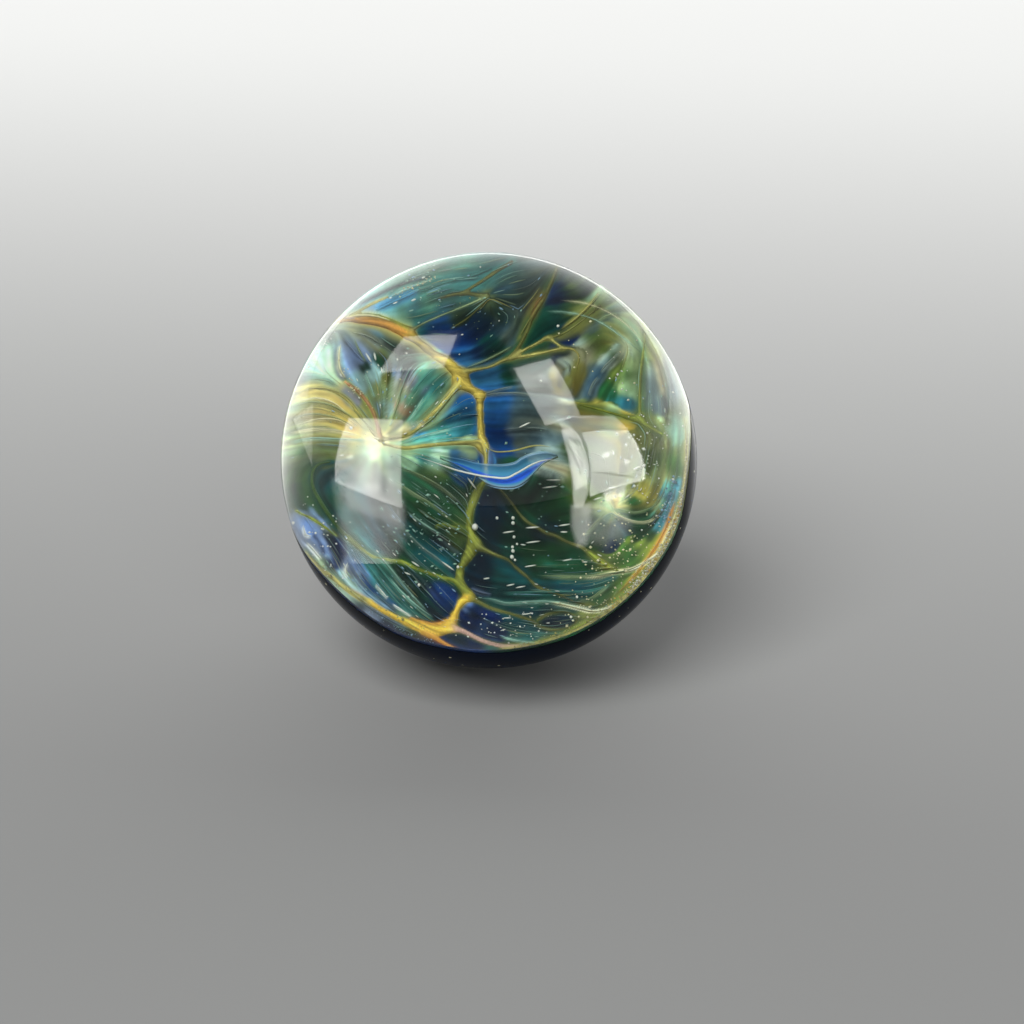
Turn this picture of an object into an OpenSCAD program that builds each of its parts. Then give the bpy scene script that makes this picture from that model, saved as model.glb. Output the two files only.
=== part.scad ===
// Handmade glass marble: a clear face fused over a coloured bowl with amber veins, on a dark back.
// Millimetres, +Z up, origin at the centre of the ball. The marble's own axis runs from the dark back
// to the clear face. It lies in the Y-Z plane, and the clear face looks forward and up, to -Y and +Z.

/* [Ball] */
// Outside diameter of the marble
marble_d = 42; // [30:0.5:60]
// Lean of the marble's own axis above level
axis_lean = 45; // [0:1:90]

/* [Clear face] */
// Where the clear glass ends on the outside, in degrees from the middle of the clear face
clear_edge = 90; // [85:1:100]
// Depth behind that edge of the bowl that the clear glass fills
bowl_depth = 6.5; // [5:0.1:9]

/* [Coloured layer] */
// Width of the coloured band that shows on the outside, in degrees
band = 2.5; // [2:0.1:6]
// Thickness of the coloured layer at the bottom of the bowl
layer_t = 1.7; // [1.4:0.1:3]

/* [Amber web] */
// Diameter of the main veins
main_vein_d = 1.2; // [0.8:0.05:1.5]
// Diameter of the side veins
side_vein_d = 0.8; // [0.5:0.05:1]
// Diameter of the finest veins
fine_vein_d = 0.5; // [0.3:0.05:0.6]
// Size of the glass bead where veins meet, as a multiple of its thickest vein
bead_gain = 1.25; // [1.15:0.05:1.5]

/* [Blue ribbon] */
// Width of the ribbon at its middle
ribbon_w = 1.6; // [0.8:0.1:2.5]
// Thickness of the ribbon
ribbon_t = 0.6; // [0.3:0.05:1]
// Depth of clear glass between the ribbon and the bowl
ribbon_lift = 2.2; // [1.2:0.1:4]

/* [Hidden] */
$fn = 96;

ball_r = marble_d / 2;

// A bowl is a sphere centred on the marble's axis. It meets the ball at its edge angle, and its bottom
// lies its depth behind that edge.
function edge_r(edge) = ball_r * sin(edge);
function edge_z(edge) = ball_r * cos(edge);
function bowl_r(edge, depth) = (edge_r(edge) ^ 2 + depth ^ 2) / (2 * depth);
function bowl_z(edge, depth) = edge_z(edge) - depth + bowl_r(edge, depth);

// Front of the coloured layer
front_edge_r = edge_r(clear_edge);
front_r = bowl_r(clear_edge, bowl_depth);
front_z = bowl_z(clear_edge, bowl_depth);

// Back of the coloured layer, where the dark glass starts
back_edge = clear_edge + band;
back_depth = bowl_depth + layer_t - edge_z(clear_edge) + edge_z(back_edge);
back_r = bowl_r(back_edge, back_depth);
back_z = bowl_z(back_edge, back_depth);

// Where the veins meet or end: across and up the bowl, looking into the clear face along the axis,
// as shares of the bowl's edge radius
JUNCTIONS = [
    ["shoulder", [-0.42, 0.45]], ["brow", [-0.28, 0.45]], ["crown", [-0.14, 0.36]],
    ["knee", [-0.08, 0.31]], ["heart", [-0.06, 0.15]], ["waist", [-0.08, -0.04]],
    ["hip", [-0.05, -0.17]], ["bend", [-0.09, -0.27]], ["fork", [-0.10, -0.49]],
    ["west_foot", [-0.36, -0.47]], ["west_toe", [-0.61, -0.36]], ["star", [-0.36, 0.15]],
    ["north", [-0.09, 0.55]], ["mast", [0.09, 0.62]], ["saddle", [0.01, 0.44]],
    ["east_brow", [0.17, 0.44]], ["east_crown", [0.23, 0.55]], ["east_top", [0.39, 0.48]],
    ["east_side", [0.39, 0.25]], ["east_eye", [0.21, 0.29]], ["south", [0.06, -0.63]],
    ["south_east", [0.29, -0.64]], ["rim_east", [0.53, -0.56]], ["east_foot", [0.72, -0.44]],
    ["east_rim", [0.73, -0.16]], ["quay", [0.32, -0.42]], ["delta", [0.41, -0.27]],
    ["mid", [0.14, -0.11]], ["mid_east", [0.31, -0.17]], ["west", [-0.62, -0.14]],
    ["west_mid", [-0.33, -0.25]], ["west_rim", [-0.75, 0.33]],
];

// Each vein's two junctions and its diameter
VEINS = [
    ["shoulder", "brow", main_vein_d], ["brow", "crown", main_vein_d], ["crown", "knee", main_vein_d],
    ["knee", "heart", main_vein_d], ["hip", "bend", main_vein_d], ["bend", "fork", main_vein_d],
    ["fork", "west_foot", main_vein_d], ["rim_east", "east_foot", main_vein_d],
    ["west_rim", "shoulder", side_vein_d], ["heart", "waist", side_vein_d],
    ["waist", "hip", side_vein_d], ["west_foot", "west_toe", side_vein_d],
    ["crown", "star", side_vein_d], ["fork", "south", side_vein_d], ["south", "south_east", side_vein_d],
    ["south_east", "rim_east", side_vein_d], ["east_foot", "east_rim", side_vein_d],
    ["east_top", "east_side", side_vein_d], ["saddle", "mast", side_vein_d], ["hip", "quay", side_vein_d],
    ["brow", "north", fine_vein_d], ["crown", "saddle", fine_vein_d], ["saddle", "east_brow", fine_vein_d],
    ["east_brow", "east_crown", fine_vein_d], ["east_side", "east_eye", fine_vein_d],
    ["heart", "star", fine_vein_d], ["heart", "mid", fine_vein_d], ["mid", "mid_east", fine_vein_d],
    ["mid_east", "delta", fine_vein_d], ["west", "west_mid", fine_vein_d],
    ["west_mid", "bend", fine_vein_d], ["east_side", "east_rim", fine_vein_d],
];

// A point on the bowl's surface, measured from the centre of the bowl's sphere
function on_bowl(share) =
    let (x = share[0] * front_edge_r, y = share[1] * front_edge_r)
    [x, y, -sqrt(front_r ^ 2 - x ^ 2 - y ^ 2)];

function place(name) = on_bowl([for (j = JUNCTIONS) if (j[0] == name) j[1]][0]);
function thickest(name) = max([for (v = VEINS) if (v[0] == name || v[1] == name) v[2]]);

// The ribbon's middle line is a Bezier curve, given in the same shares as the junctions
RIBBON_LINE = [[-0.24, 0.06], [-0.06, 0.11], [0.03, -0.13], [0.23, 0.10]];
RIBBON_STEPS = 20;
function curve(p, t) =
    p[0] * (1 - t) ^ 3 + 3 * p[1] * t * (1 - t) ^ 2 + 3 * p[2] * t ^ 2 * (1 - t) + p[3] * t ^ 3;
function slope(p, t) =
    3 * ((p[1] - p[0]) * (1 - t) ^ 2 + 2 * (p[2] - p[1]) * t * (1 - t) + (p[3] - p[2]) * t ^ 2);
function ribbon_edge(t, side) =
    let (along = slope(RIBBON_LINE, t), out = [-along[1], along[0]] / norm(along))
    curve(RIBBON_LINE, t) * front_edge_r + side * out * sin(180 * t) * ribbon_w / 2;

// Stands what is drawn along the marble's own axis into the marble's pose
module in_pose() {
    rotate([90 - axis_lean, 0, 0]) children();
}

module ball() {
    sphere(r = ball_r);
}

// The bowls' spheres are turned so that their poles and seams lie outside the marble
module front_bowl(inset = 0) {
    translate([0, 0, front_z]) rotate([90, 0, 0]) sphere(r = front_r - inset);
}

module back_bowl() {
    translate([0, 0, back_z]) rotate([90, 0, 0]) sphere(r = back_r);
}

// A round vein that follows the bowl's surface from one of its points to another
module vein(from, to, d) {
    ahead = from / norm(from);
    across = cross(from, to) / norm(cross(from, to));
    aside = cross(across, ahead);
    multmatrix([
        [ahead[0], aside[0], across[0], 0],
        [ahead[1], aside[1], across[1], 0],
        [ahead[2], aside[2], across[2], 0],
        [0, 0, 0, 1],
    ])
        rotate_extrude(angle = acos(from * to / front_r ^ 2)) translate([front_r, 0]) circle(d = d);
}

// The web's pieces by number: first the beads at the junctions, then the veins
WEB_PIECES = len(JUNCTIONS) + len(VEINS);
module web_piece(i) {
    translate([0, 0, front_z])
        if (i < len(JUNCTIONS)) {
            j = JUNCTIONS[i];
            translate(on_bowl(j[1])) sphere(d = thickest(j[0]) * bead_gain);
        } else {
            v = VEINS[i - len(JUNCTIONS)];
            vein(place(v[0]), place(v[1]), v[2]);
        }
}

module web() {
    for (i = [0:WEB_PIECES - 1]) web_piece(i);
}

// Seats the web in a glass: the glass is cut back from one bead or vein after the other
module around_web(pieces = WEB_PIECES) {
    if (pieces == 0) children();
    else difference() {
        around_web(pieces - 1) children();
        web_piece(pieces - 1);
    }
}

module ribbon() {
    steps = [for (i = [0:RIBBON_STEPS]) i / RIBBON_STEPS];
    left = [for (t = steps) ribbon_edge(t, 1)];
    right = [for (i = [RIBBON_STEPS - 1:-1:1]) ribbon_edge(steps[i], -1)];
    intersection() {
        difference() {
            front_bowl(ribbon_lift);
            front_bowl(ribbon_lift + ribbon_t);
        }
        translate([0, 0, -ball_r]) linear_extrude(ball_r) polygon(concat(left, right));
    }
}

module clear_face() {
    color("lightcyan", 0.35) in_pose() difference() {
        around_web() intersection() {
            ball();
            front_bowl();
        }
        ribbon();
    }
}

module colour_layer() {
    color("teal") in_pose() around_web() difference() {
        intersection() {
            ball();
            back_bowl();
        }
        front_bowl();
    }
}

module amber_web() {
    color("goldenrod") in_pose() web();
}

module blue_ribbon() {
    color("dodgerblue") in_pose() ribbon();
}

module dark_back() {
    color("midnightblue") in_pose() difference() {
        ball();
        back_bowl();
    }
}

clear_face();
colour_layer();
amber_web();
blue_ribbon();
dark_back();
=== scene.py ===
"""A handmade glass marble: a clear face over a coloured bowl with an amber web, on a dark back.

The bowl is painted in the photograph's own frame. Each named stroke or wash is a few given pixel
coordinates, and the ray through a pixel is followed through the clear ball to the
place on the bowl that shows there. Lengths are in ball radii until a mesh is made, in metres.
"""

import bpy
import numpy as np
from mathutils import Matrix, Vector

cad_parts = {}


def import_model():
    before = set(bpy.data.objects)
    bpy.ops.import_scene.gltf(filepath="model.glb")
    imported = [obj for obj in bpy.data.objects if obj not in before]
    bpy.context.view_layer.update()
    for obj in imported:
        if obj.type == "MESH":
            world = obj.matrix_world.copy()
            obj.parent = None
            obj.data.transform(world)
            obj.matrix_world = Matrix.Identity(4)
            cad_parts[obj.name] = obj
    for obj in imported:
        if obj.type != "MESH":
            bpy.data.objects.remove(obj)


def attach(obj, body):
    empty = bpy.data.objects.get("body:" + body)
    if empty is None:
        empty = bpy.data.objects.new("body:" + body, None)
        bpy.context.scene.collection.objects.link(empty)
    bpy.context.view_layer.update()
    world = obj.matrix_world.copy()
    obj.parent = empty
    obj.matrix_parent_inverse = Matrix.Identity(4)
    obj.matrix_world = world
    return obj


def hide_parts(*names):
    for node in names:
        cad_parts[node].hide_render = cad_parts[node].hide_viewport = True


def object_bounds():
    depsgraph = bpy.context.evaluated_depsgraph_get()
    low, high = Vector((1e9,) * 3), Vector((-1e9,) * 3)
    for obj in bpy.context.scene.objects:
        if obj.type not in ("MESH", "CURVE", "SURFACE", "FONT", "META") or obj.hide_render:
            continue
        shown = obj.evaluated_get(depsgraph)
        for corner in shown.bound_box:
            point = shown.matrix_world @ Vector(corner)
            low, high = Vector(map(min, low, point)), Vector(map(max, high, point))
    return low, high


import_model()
cad_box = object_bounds()

# ---------------------------------------------------------------- sizes from the frame
BALL = (cad_box[1].x - cad_box[0].x) / 2          # radius of the marble, metres
MM = 0.001 / BALL                                 # a millimetre, in ball radii
LEAN = np.radians(45)                             # the marble's axis above level
AXIS = np.array([0, -np.cos(LEAN), np.sin(LEAN)])
ACROSS = np.array([1.0, 0, 0])
UPHILL = np.cross(AXIS, ACROSS)
BOWL_DEPTH = 6.5 * MM
BOWL_R = (1 + BOWL_DEPTH ** 2) / (2 * BOWL_DEPTH)  # sphere of the bowl's surface
BOWL_Z = BOWL_R - BOWL_DEPTH                       # and its centre along the axis
LAYER = 1.7 * MM                                   # coloured layer at the bottom of the bowl
BAND = np.radians(1.2)                             # coloured layer showing on the outside

BEHIND = 0.012                                    # how far behind the bowl's colours the clear glass ends
SUNK = 0.004                                      # how far the coloured layer sinks into the dark glass

# ---------------------------------------------------------------- the photograph's view
FRAME_PX = 1024
BALL_PX = np.array([489.0, 460.5])                # middle of the ball in the frame
BALL_PX_R = 207.5
FOCAL_PX = 2365.0
DISTANCE = 11.4                                   # eye to ball, ball radii
ELEVATION = np.radians(24)
AZIMUTH = np.radians(8)
GLASS_IOR = 1.47

EYE = DISTANCE * np.array([
    np.sin(AZIMUTH) * np.cos(ELEVATION),
    -np.cos(AZIMUTH) * np.cos(ELEVATION),
    np.sin(ELEVATION),
])


def camera_axes():
    """Right, up and forward of a level camera that shows the ball's middle at BALL_PX."""
    forward = -EYE / DISTANCE
    for _ in range(30):
        right = np.cross(forward, [0, 0, 1])
        right /= np.linalg.norm(right)
        up = np.cross(right, forward)
        depth = -EYE @ forward
        x = FRAME_PX / 2 - FOCAL_PX * (EYE @ right) / depth
        y = FRAME_PX / 2 + FOCAL_PX * (EYE @ up) / depth
        forward = forward + right * (x - BALL_PX[0]) / FOCAL_PX - up * (y - BALL_PX[1]) / FOCAL_PX
        forward /= np.linalg.norm(forward)
    return right, up, forward


RIGHT, UP, FORWARD = camera_axes()


def dot(a, b):
    return (a * b).sum(-1, keepdims=True)


def rays(px):
    """Unit ways from the eye through pixels."""
    off = (np.asarray(px, float)[..., :2] - FRAME_PX / 2) / FOCAL_PX
    way = FORWARD + off[..., :1] * RIGHT - off[..., 1:] * UP
    return way / np.linalg.norm(way, axis=-1, keepdims=True)


def meet(start, way, centre, radius, far=False):
    """Where a ray meets a sphere."""
    off = start - centre
    half = dot(off, way)
    root = np.sqrt(np.maximum(half ** 2 - dot(off, off) + radius ** 2, 0))
    return start + (root - half if far else -root - half) * way


def on_ball(px):
    return meet(EYE, rays(px), np.zeros(3), 1.0)


def on_bowl(px, lift=0.0):
    """The place that shows at a pixel through the clear glass: on the bowl, or lift above it."""
    way, skin = rays(px), on_ball(px)
    cosine = -dot(skin, way)
    ratio = 1 / GLASS_IOR
    bent = ratio * way + (ratio * cosine - np.sqrt(1 - ratio ** 2 * (1 - cosine ** 2))) * skin
    return meet(skin, bent, AXIS * BOWL_Z, BOWL_R - lift, far=True)


def local(point):
    """Across, uphill and along the marble's own axis."""
    return np.stack([point @ ACROSS, point @ UPHILL, point @ AXIS], -1)


def from_local(x, y, z):
    return x[..., None] * ACROSS + y[..., None] * UPHILL + z[..., None] * AXIS


# ---------------------------------------------------------------- colours
def colour(code):
    """A linear colour from its usual hex code."""
    c = np.array([int(code[i:i + 2], 16) for i in (1, 3, 5)]) / 255
    return np.where(c <= 0.04045, c / 12.92, ((c + 0.055) / 1.055) ** 2.4)


INK = {name: colour(code) for name, code in {
    "black": "#04070b", "night": "#08202c", "navy": "#081f40", "royal": "#103463", "blue": "#235074",
    "bright": "#2a62dc", "azure": "#4a93b8", "sky": "#8fb4d0", "lilac": "#6d7d96", "slate": "#3b4b4e",
    "smoke": "#263a33", "fog": "#7f8c82", "deep_teal": "#0f4242", "teal": "#265a5c", "sea": "#457f76",
    "aqua": "#98bfae", "pine": "#0c382e", "forest": "#143a25", "leaf": "#3a5c28", "moss": "#40522a",
    "dark_olive": "#1e2a18", "olive": "#646838", "sage": "#84966e", "lime": "#8c9a3e", "straw": "#b0aa62",
    "gold": "#b4a04a", "amber": "#cc9242", "rust": "#80522c", "cream": "#ece6bc", "white": "#f4f6ea",
    "rose": "#b8988a", "citron": "#7e8638", "yellow": "#d8b444", "mist": "#82a0a0", "lagoon": "#4f949a",
    "peach": "#c69a6c",
}.items()}

# ---------------------------------------------------------------- strokes on the bowl
# Soft patches: colour, middle and reach in pixels, and weight.
WASHES = {
    "rim_north_west": ("sea", 400, 288, 20, 1.0), "rim_north": ("sea", 455, 272, 20, 1.2),
    "rim_north_low": ("teal", 470, 285, 14, 1.0), "rim_north_mid": ("teal", 500, 262, 18, 1.0),
    "rim_north_east": ("slate", 548, 266, 18, 1.0), "azure_patch": ("azure", 385, 306, 9, 2.2),
    "azure_low": ("azure", 408, 297, 8, 1.6), "under_rim": ("teal", 420, 312, 14, 1.4),
    "under_rim_east": ("blue", 440, 306, 9, 1.0), "shoulder_haze": ("lilac", 372, 311, 5, 1.4),
    "north_smoke": ("smoke", 450, 302, 14, 1.0), "north_royal": ("royal", 436, 325, 9, 2.0),
    "north_green": ("dark_olive", 462, 315, 9, 1.2), "north_blue": ("royal", 458, 348, 12, 2.2),
    "north_blue_low": ("blue", 462, 358, 8, 1.4), "north_deep": ("navy", 475, 340, 12, 1.4),
    "north_black": ("night", 486, 326, 12, 1.6), "north_pine": ("pine", 490, 345, 9, 1.2),
    "swirl": ("dark_olive", 500, 312, 14, 1.4), "swirl_pale": ("slate", 508, 330, 9, 1.0),
    "star_ground": ("olive", 486, 300, 8, 0.7), "top_night": ("navy", 500, 272, 8, 1.2),
    "top_smoke": ("slate", 528, 272, 15, 1.3), "top_smoke_low": ("smoke", 520, 292, 12, 1.4),
    "ne_navy": ("navy", 556, 294, 10, 2.4), "ne_moss": ("moss", 578, 298, 12, 1.6),
    "ne_forest": ("forest", 566, 304, 9, 1.2), "ne_pine": ("pine", 543, 318, 11, 1.8),
    "ne_pine_low": ("pine", 532, 338, 8, 1.4), "ne_olive": ("olive", 582, 312, 9, 1.6),
    "ne_haze": ("slate", 580, 282, 10, 1.0), "ne_rim": ("sage", 602, 292, 12, 1.6),
    "ne_navy_low": ("navy", 562, 335, 8, 2.0), "ne_slate": ("slate", 590, 322, 7, 1.4),
    "ne_slate_far": ("slate", 612, 312, 8, 1.0), "ne_dark": ("moss", 600, 347, 10, 1.2),
    "ne_moss_low": ("olive", 615, 335, 10, 1.2), "ne_sage": ("sage", 630, 318, 13, 1.3),
    "ne_sage_low": ("sage", 634, 344, 10, 1.8), "east_leaf": ("moss", 622, 372, 11, 1.6),
    "east_leaf_low": ("forest", 614, 390, 8, 1.5), "east_teal": ("teal", 624, 404, 6, 1),
    "east_grey": ("slate", 598, 374, 8, 1.4), "east_black": ("slate", 584, 385, 9, 1.4),
    "east_blue": ("slate", 592, 388, 8, 1.2), "east_dark": ("olive", 573, 376, 8, 1),
    "east_strip": ("slate", 650, 385, 7, 1.8), "east_strip_top": ("sage", 654, 348, 8, 1.6),
    "east_pale": ("fog", 666, 375, 13, 1.6), "east_smoke": ("slate", 662, 402, 7, 1.0),
    "saddle_dark": ("deep_teal", 528, 362, 9, 1.2), "cell_blue": ("blue", 480, 376, 12, 3.0),
    "cell_blue_low": ("azure", 472, 380, 5, 0.5), "cell_night": ("pine", 510, 374, 8, 1.4),
    "cell_grey": ("slate", 526, 378, 9, 1.4), "cell_navy": ("blue", 492, 402, 13, 2.4),
    "cell_navy_low": ("royal", 490, 426, 13, 2.6), "cell_pine": ("slate", 526, 412, 12, 1.6),
    "cell_pine_low": ("slate", 528, 434, 9, 1.2), "cell_far": ("fog", 548, 428, 11, 0.2),
    "cell_far_low": ("fog", 560, 465, 8, 1.6), "west_blue": ("lilac", 352, 356, 11, 2.6),
    "west_blue_low": ("mist", 364, 377, 8, 2), "west_green": ("slate", 368, 343, 9, 1.6),
    "west_pine": ("forest", 376, 360, 5, 1.8), "west_slate": ("slate", 395, 352, 12, 1.4),
    "west_lime": ("sage", 386, 392, 8, 1), "west_moss": ("olive", 388, 379, 6, 1.2),
    "mid_rose": ("rose", 402, 404, 5, 0.25), "mid_lilac": ("lilac", 412, 380, 8, 1.2),
    "mid_sea": ("sea", 428, 372, 8, 1.8), "mid_teal": ("teal", 446, 386, 10, 2.2),
    "mid_slate": ("sea", 418, 402, 10, 1.2), "mid_blue": ("blue", 455, 408, 11, 1.8),
    "mid_teal_low": ("teal", 466, 425, 9, 1.6), "mid_blue_low": ("sea", 438, 428, 10, 2.2),
    "mid_aqua": ("azure", 420, 436, 7, 0.9), "west_haze": ("aqua", 322, 365, 13, 1.2),
    "fan_olive": ("straw", 325, 414, 16, 1.6), "fan_straw": ("straw", 316, 394, 9, 2.0),
    "fan_rim": ("sage", 296, 426, 12, 2.2), "fan_low": ("olive", 325, 442, 10, 1.4),
    "fan_slate": ("lilac", 355, 395, 7, 2), "rim_forest": ("leaf", 290, 470, 10, 1.4),
    "rim_forest_low": ("forest", 300, 495, 9, 1.6), "rim_sage": ("sage", 284, 450, 9, 1.8),
    "pocket_night": ("deep_teal", 326, 482, 10, 2.6), "pocket_teal": ("pine", 328, 502, 8, 2.0),
    "pocket_low": ("deep_teal", 345, 515, 10, 2.0), "stripe_teal": ("teal", 365, 540, 10, 1.4),
    "stripe_slate": ("slate", 385, 520, 12, 1.2), "funnel": ("cream", 380, 438, 6, 3.0),
    "funnel_glow": ("sage", 384, 430, 10, 1.4), "under_funnel": ("sea", 420, 453, 8, 1.8),
    "under_funnel_mid": ("aqua", 436, 461, 7, 1.2), "under_funnel_east": ("blue", 466, 464, 9, 2.6),
    "under_funnel_low": ("sage", 410, 464, 5, 1.4), "moss_field": ("moss", 432, 474, 11, 1.6),
    "moss_field_low": ("forest", 427, 494, 15, 3.4), "moss_east": ("forest", 455, 494, 11, 2.2),
    "moss_mid": ("forest", 448, 512, 12, 2.2), "moss_deep": ("moss", 458, 532, 8, 1.4),
    "field_pine": ("pine", 418, 532, 12, 2.0), "field_night": ("night", 440, 540, 9, 2.0),
    "field_teal": ("deep_teal", 430, 556, 10, 2.0), "field_smoke": ("deep_teal", 452, 562, 8, 1.8),
    "low_pine": ("forest", 398, 572, 9, 1.8), "low_pine_mid": ("pine", 415, 590, 13, 2.4),
    "low_navy": ("royal", 442, 592, 8, 2.0), "low_night": ("night", 436, 606, 8, 1.4),
    "low_forest": ("forest", 425, 612, 8, 1.4), "low_veil": ("sea", 384, 582, 10, 1.6),
    "rag_lilac": ("lilac", 307, 530, 10, 2.2), "rag_blue": ("lilac", 320, 550, 8, 1.2),
    "rag_navy": ("navy", 335, 550, 8, 3.0), "rag_night": ("night", 333, 538, 5, 2.0),
    "rag_sky": ("lilac", 352, 566, 7, 1.6), "rag_aqua": ("mist", 352, 582, 8, 1.6),
    "rag_royal": ("blue", 372, 588, 6, 1.6), "rag_royal_low": ("blue", 388, 604, 6, 2.0),
    "rag_sage": ("sage", 318, 562, 5, 1.6), "rag_end": ("sea", 408, 612, 7, 1.6),
    "under_foot": ("night", 420, 636, 9, 2.0), "under_foot_west": ("lilac", 375, 612, 5, 1.2),
    "dark_east": ("night", 492, 505, 14, 3.0), "dark_east_mid": ("forest", 515, 497, 12, 1.8),
    "dark_east_far": ("forest", 542, 503, 13, 2.4), "dark_mid": ("night", 490, 530, 12, 3.0),
    "dark_mid_east": ("pine", 515, 530, 12, 2.2), "dark_mid_far": ("night", 545, 522, 8, 1.6),
    "dark_forest": ("forest", 535, 545, 10, 1.6), "south_night": ("night", 482, 572, 10, 3.0),
    "south_pine": ("deep_teal", 506, 572, 12, 2.4), "south_pine_low": ("deep_teal", 510, 590, 11, 2.4),
    "south_forest": ("forest", 548, 560, 12, 2.0), "south_forest_far": ("forest", 575, 560, 12, 1.6),
    "south_teal": ("deep_teal", 548, 585, 9, 2.0), "south_teal_low": ("deep_teal", 520, 603, 9, 1.4),
    "south_east_teal": ("deep_teal", 575, 592, 11, 1.6), "south_east_pine": ("forest", 602, 600, 9, 2.2),
    # The small lilac wash at the toe cell's top left is a painted highlight.
    "lens_cell": ("night", 556, 620, 9, 3), "toe_painted_highlight": ("lilac", 468, 607, 4, 0.5),
    "toe_navy": ("navy", 476, 622, 9, 3.0), "toe_night": ("night", 475, 614, 6, 1.8),
    "toe_royal": ("navy", 494, 631, 9, 2.4), "toe_teal": ("deep_teal", 530, 634, 9, 2.4),
    "toe_teal_top": ("deep_teal", 515, 620, 8, 1.6), "toe_green": ("forest", 560, 634, 8, 1.2),
    "heel_night": ("night", 455, 638, 7, 2.4), "heel_navy": ("navy", 480, 645, 6, 2.0),
    "foot_moss": ("olive", 512, 652, 7, 1.2), "foot_teal": ("teal", 490, 648, 6, 1.0),
    "east_moss": ("moss", 612, 560, 10, 1.4), "east_low_leaf": ("leaf", 630, 566, 10, 1.8),
    "east_low_lime": ("lime", 657, 542, 7, 1.6), "east_low_forest": ("forest", 640, 552, 7, 1.0),
    "south_lime": ("olive", 590, 618, 8, 1.6), "south_lime_east": ("leaf", 622, 592, 8, 1.6),
    "east_funnel": ("sage", 612, 508, 9, 1.4), "east_slate": ("slate", 618, 528, 9, 1.6),
    "east_forest": ("forest", 595, 532, 10, 1.6), "east_spot": ("navy", 610, 547, 6, 2.6),
    "east_field": ("moss", 590, 468, 18, 1.6), "east_field_mid": ("olive", 628, 455, 14, 1.6),
    "east_field_far": ("moss", 655, 462, 12, 1.8), "east_field_low": ("olive", 648, 492, 10, 1.6),
    "east_field_dark": ("forest", 640, 515, 8, 1.6), "east_top": ("olive", 655, 438, 9, 1.4),
    "blob": ("gold", 624, 421, 6, 1.5), "blob_west": ("sage", 612, 424, 8, 1.6),
    "east_rim_sage": ("sage", 676, 430, 8, 1.4), "rim_azure": ("lagoon", 669, 503, 7, 1.8),
    "rim_azure_top": ("lagoon", 673, 488, 6, 1.4), "rim_azure_low": ("lagoon", 659, 521, 6, 1.6),
    "rim_straw": ("olive", 679, 522, 5, 1), "east_rim_low": ("leaf", 672, 465, 7, 1.6),
    "tl_light": ("sea", 430, 298, 12, 2), "ne_mist": ("slate", 588, 300, 9, 0.8),
    "fan_cream": ("cream", 318, 408, 16, 0.5), "east_mist": ("fog", 606, 362, 6, 0.8),
    "west_top": ("fog", 348, 334, 9, 1.3), "rim_azure_mix": ("blue", 664, 494, 4, 0.8),
    "rim_azure_mist": ("fog", 672, 512, 4, 0.9), "fan_sage": ("sage", 320, 414, 15, 1),
    "rag_mist": ("lilac", 362, 580, 7, 1.2), "east_low_deep": ("forest", 642, 534, 7, 1.4),
    "east_funnel_light": ("cream", 612, 503, 6, 0.9), "ne_fog": ("fog", 624, 348, 9, 1),
    "top_fog": ("slate", 500, 276, 10, 0.9), "toe_blue": ("blue", 482, 626, 5, 1),
    "mid_grey": ("mist", 385, 408, 7, 1.6), "mid_pale": ("fog", 402, 392, 8, 1.4),
    "west_glow": ("sage", 374, 409, 7, 2.4), "ne_dark_mist": ("fog", 588, 352, 8, 0.35),
    "east_curl_mist": ("fog", 564, 366, 6, 0.9), "east_leaf_pale": ("sage", 634, 388, 7, 0.8),
    "east_leaf_top": ("sage", 636, 364, 6, 0.6), "east_beam_pale": ("olive", 594, 412, 8, 1.2),
    "east_low_lime_b": ("lime", 645, 549, 7, 1.2), "east_field_pale": ("sage", 660, 474, 8, 1.2),
    "ribbon_end": ("fog", 546, 461, 7, 1.2), "swirl_mist": ("slate", 514, 308, 9, 1.2),
    "mid_lagoon": ("lagoon", 453, 421, 9, 1.3), "bridge_pale": ("sage", 470, 448, 6, 1.3),
    "funnel_east": ("cream", 405, 436, 6, 0.5), "rim_straw_low": ("straw", 672, 531, 6, 1.4),
    "toe_fill": ("deep_teal", 517, 641, 7, 1.8), "beyond_north": ("teal", 480, 220, 45, 1.0),
    "beyond_west": ("forest", 262, 330, 45, 0.8), "beyond_east": ("moss", 700, 310, 45, 0.9),
    "beyond_north_east": ("navy", 570, 200, 40, 0.8), "beyond_north_west": ("royal", 330, 240, 34, 0.8),
    "beyond_far_west": ("pine", 235, 440, 40, 0.8), "beyond_far_east": ("olive", 740, 430, 35, 0.8),
    "beyond_crown": ("moss", 400, 212, 30, 0.8), "beyond_south": ("navy", 400, 700, 50, 1.0),
    "beyond_south_east": ("forest", 600, 700, 50, 1.0),
}

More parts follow.
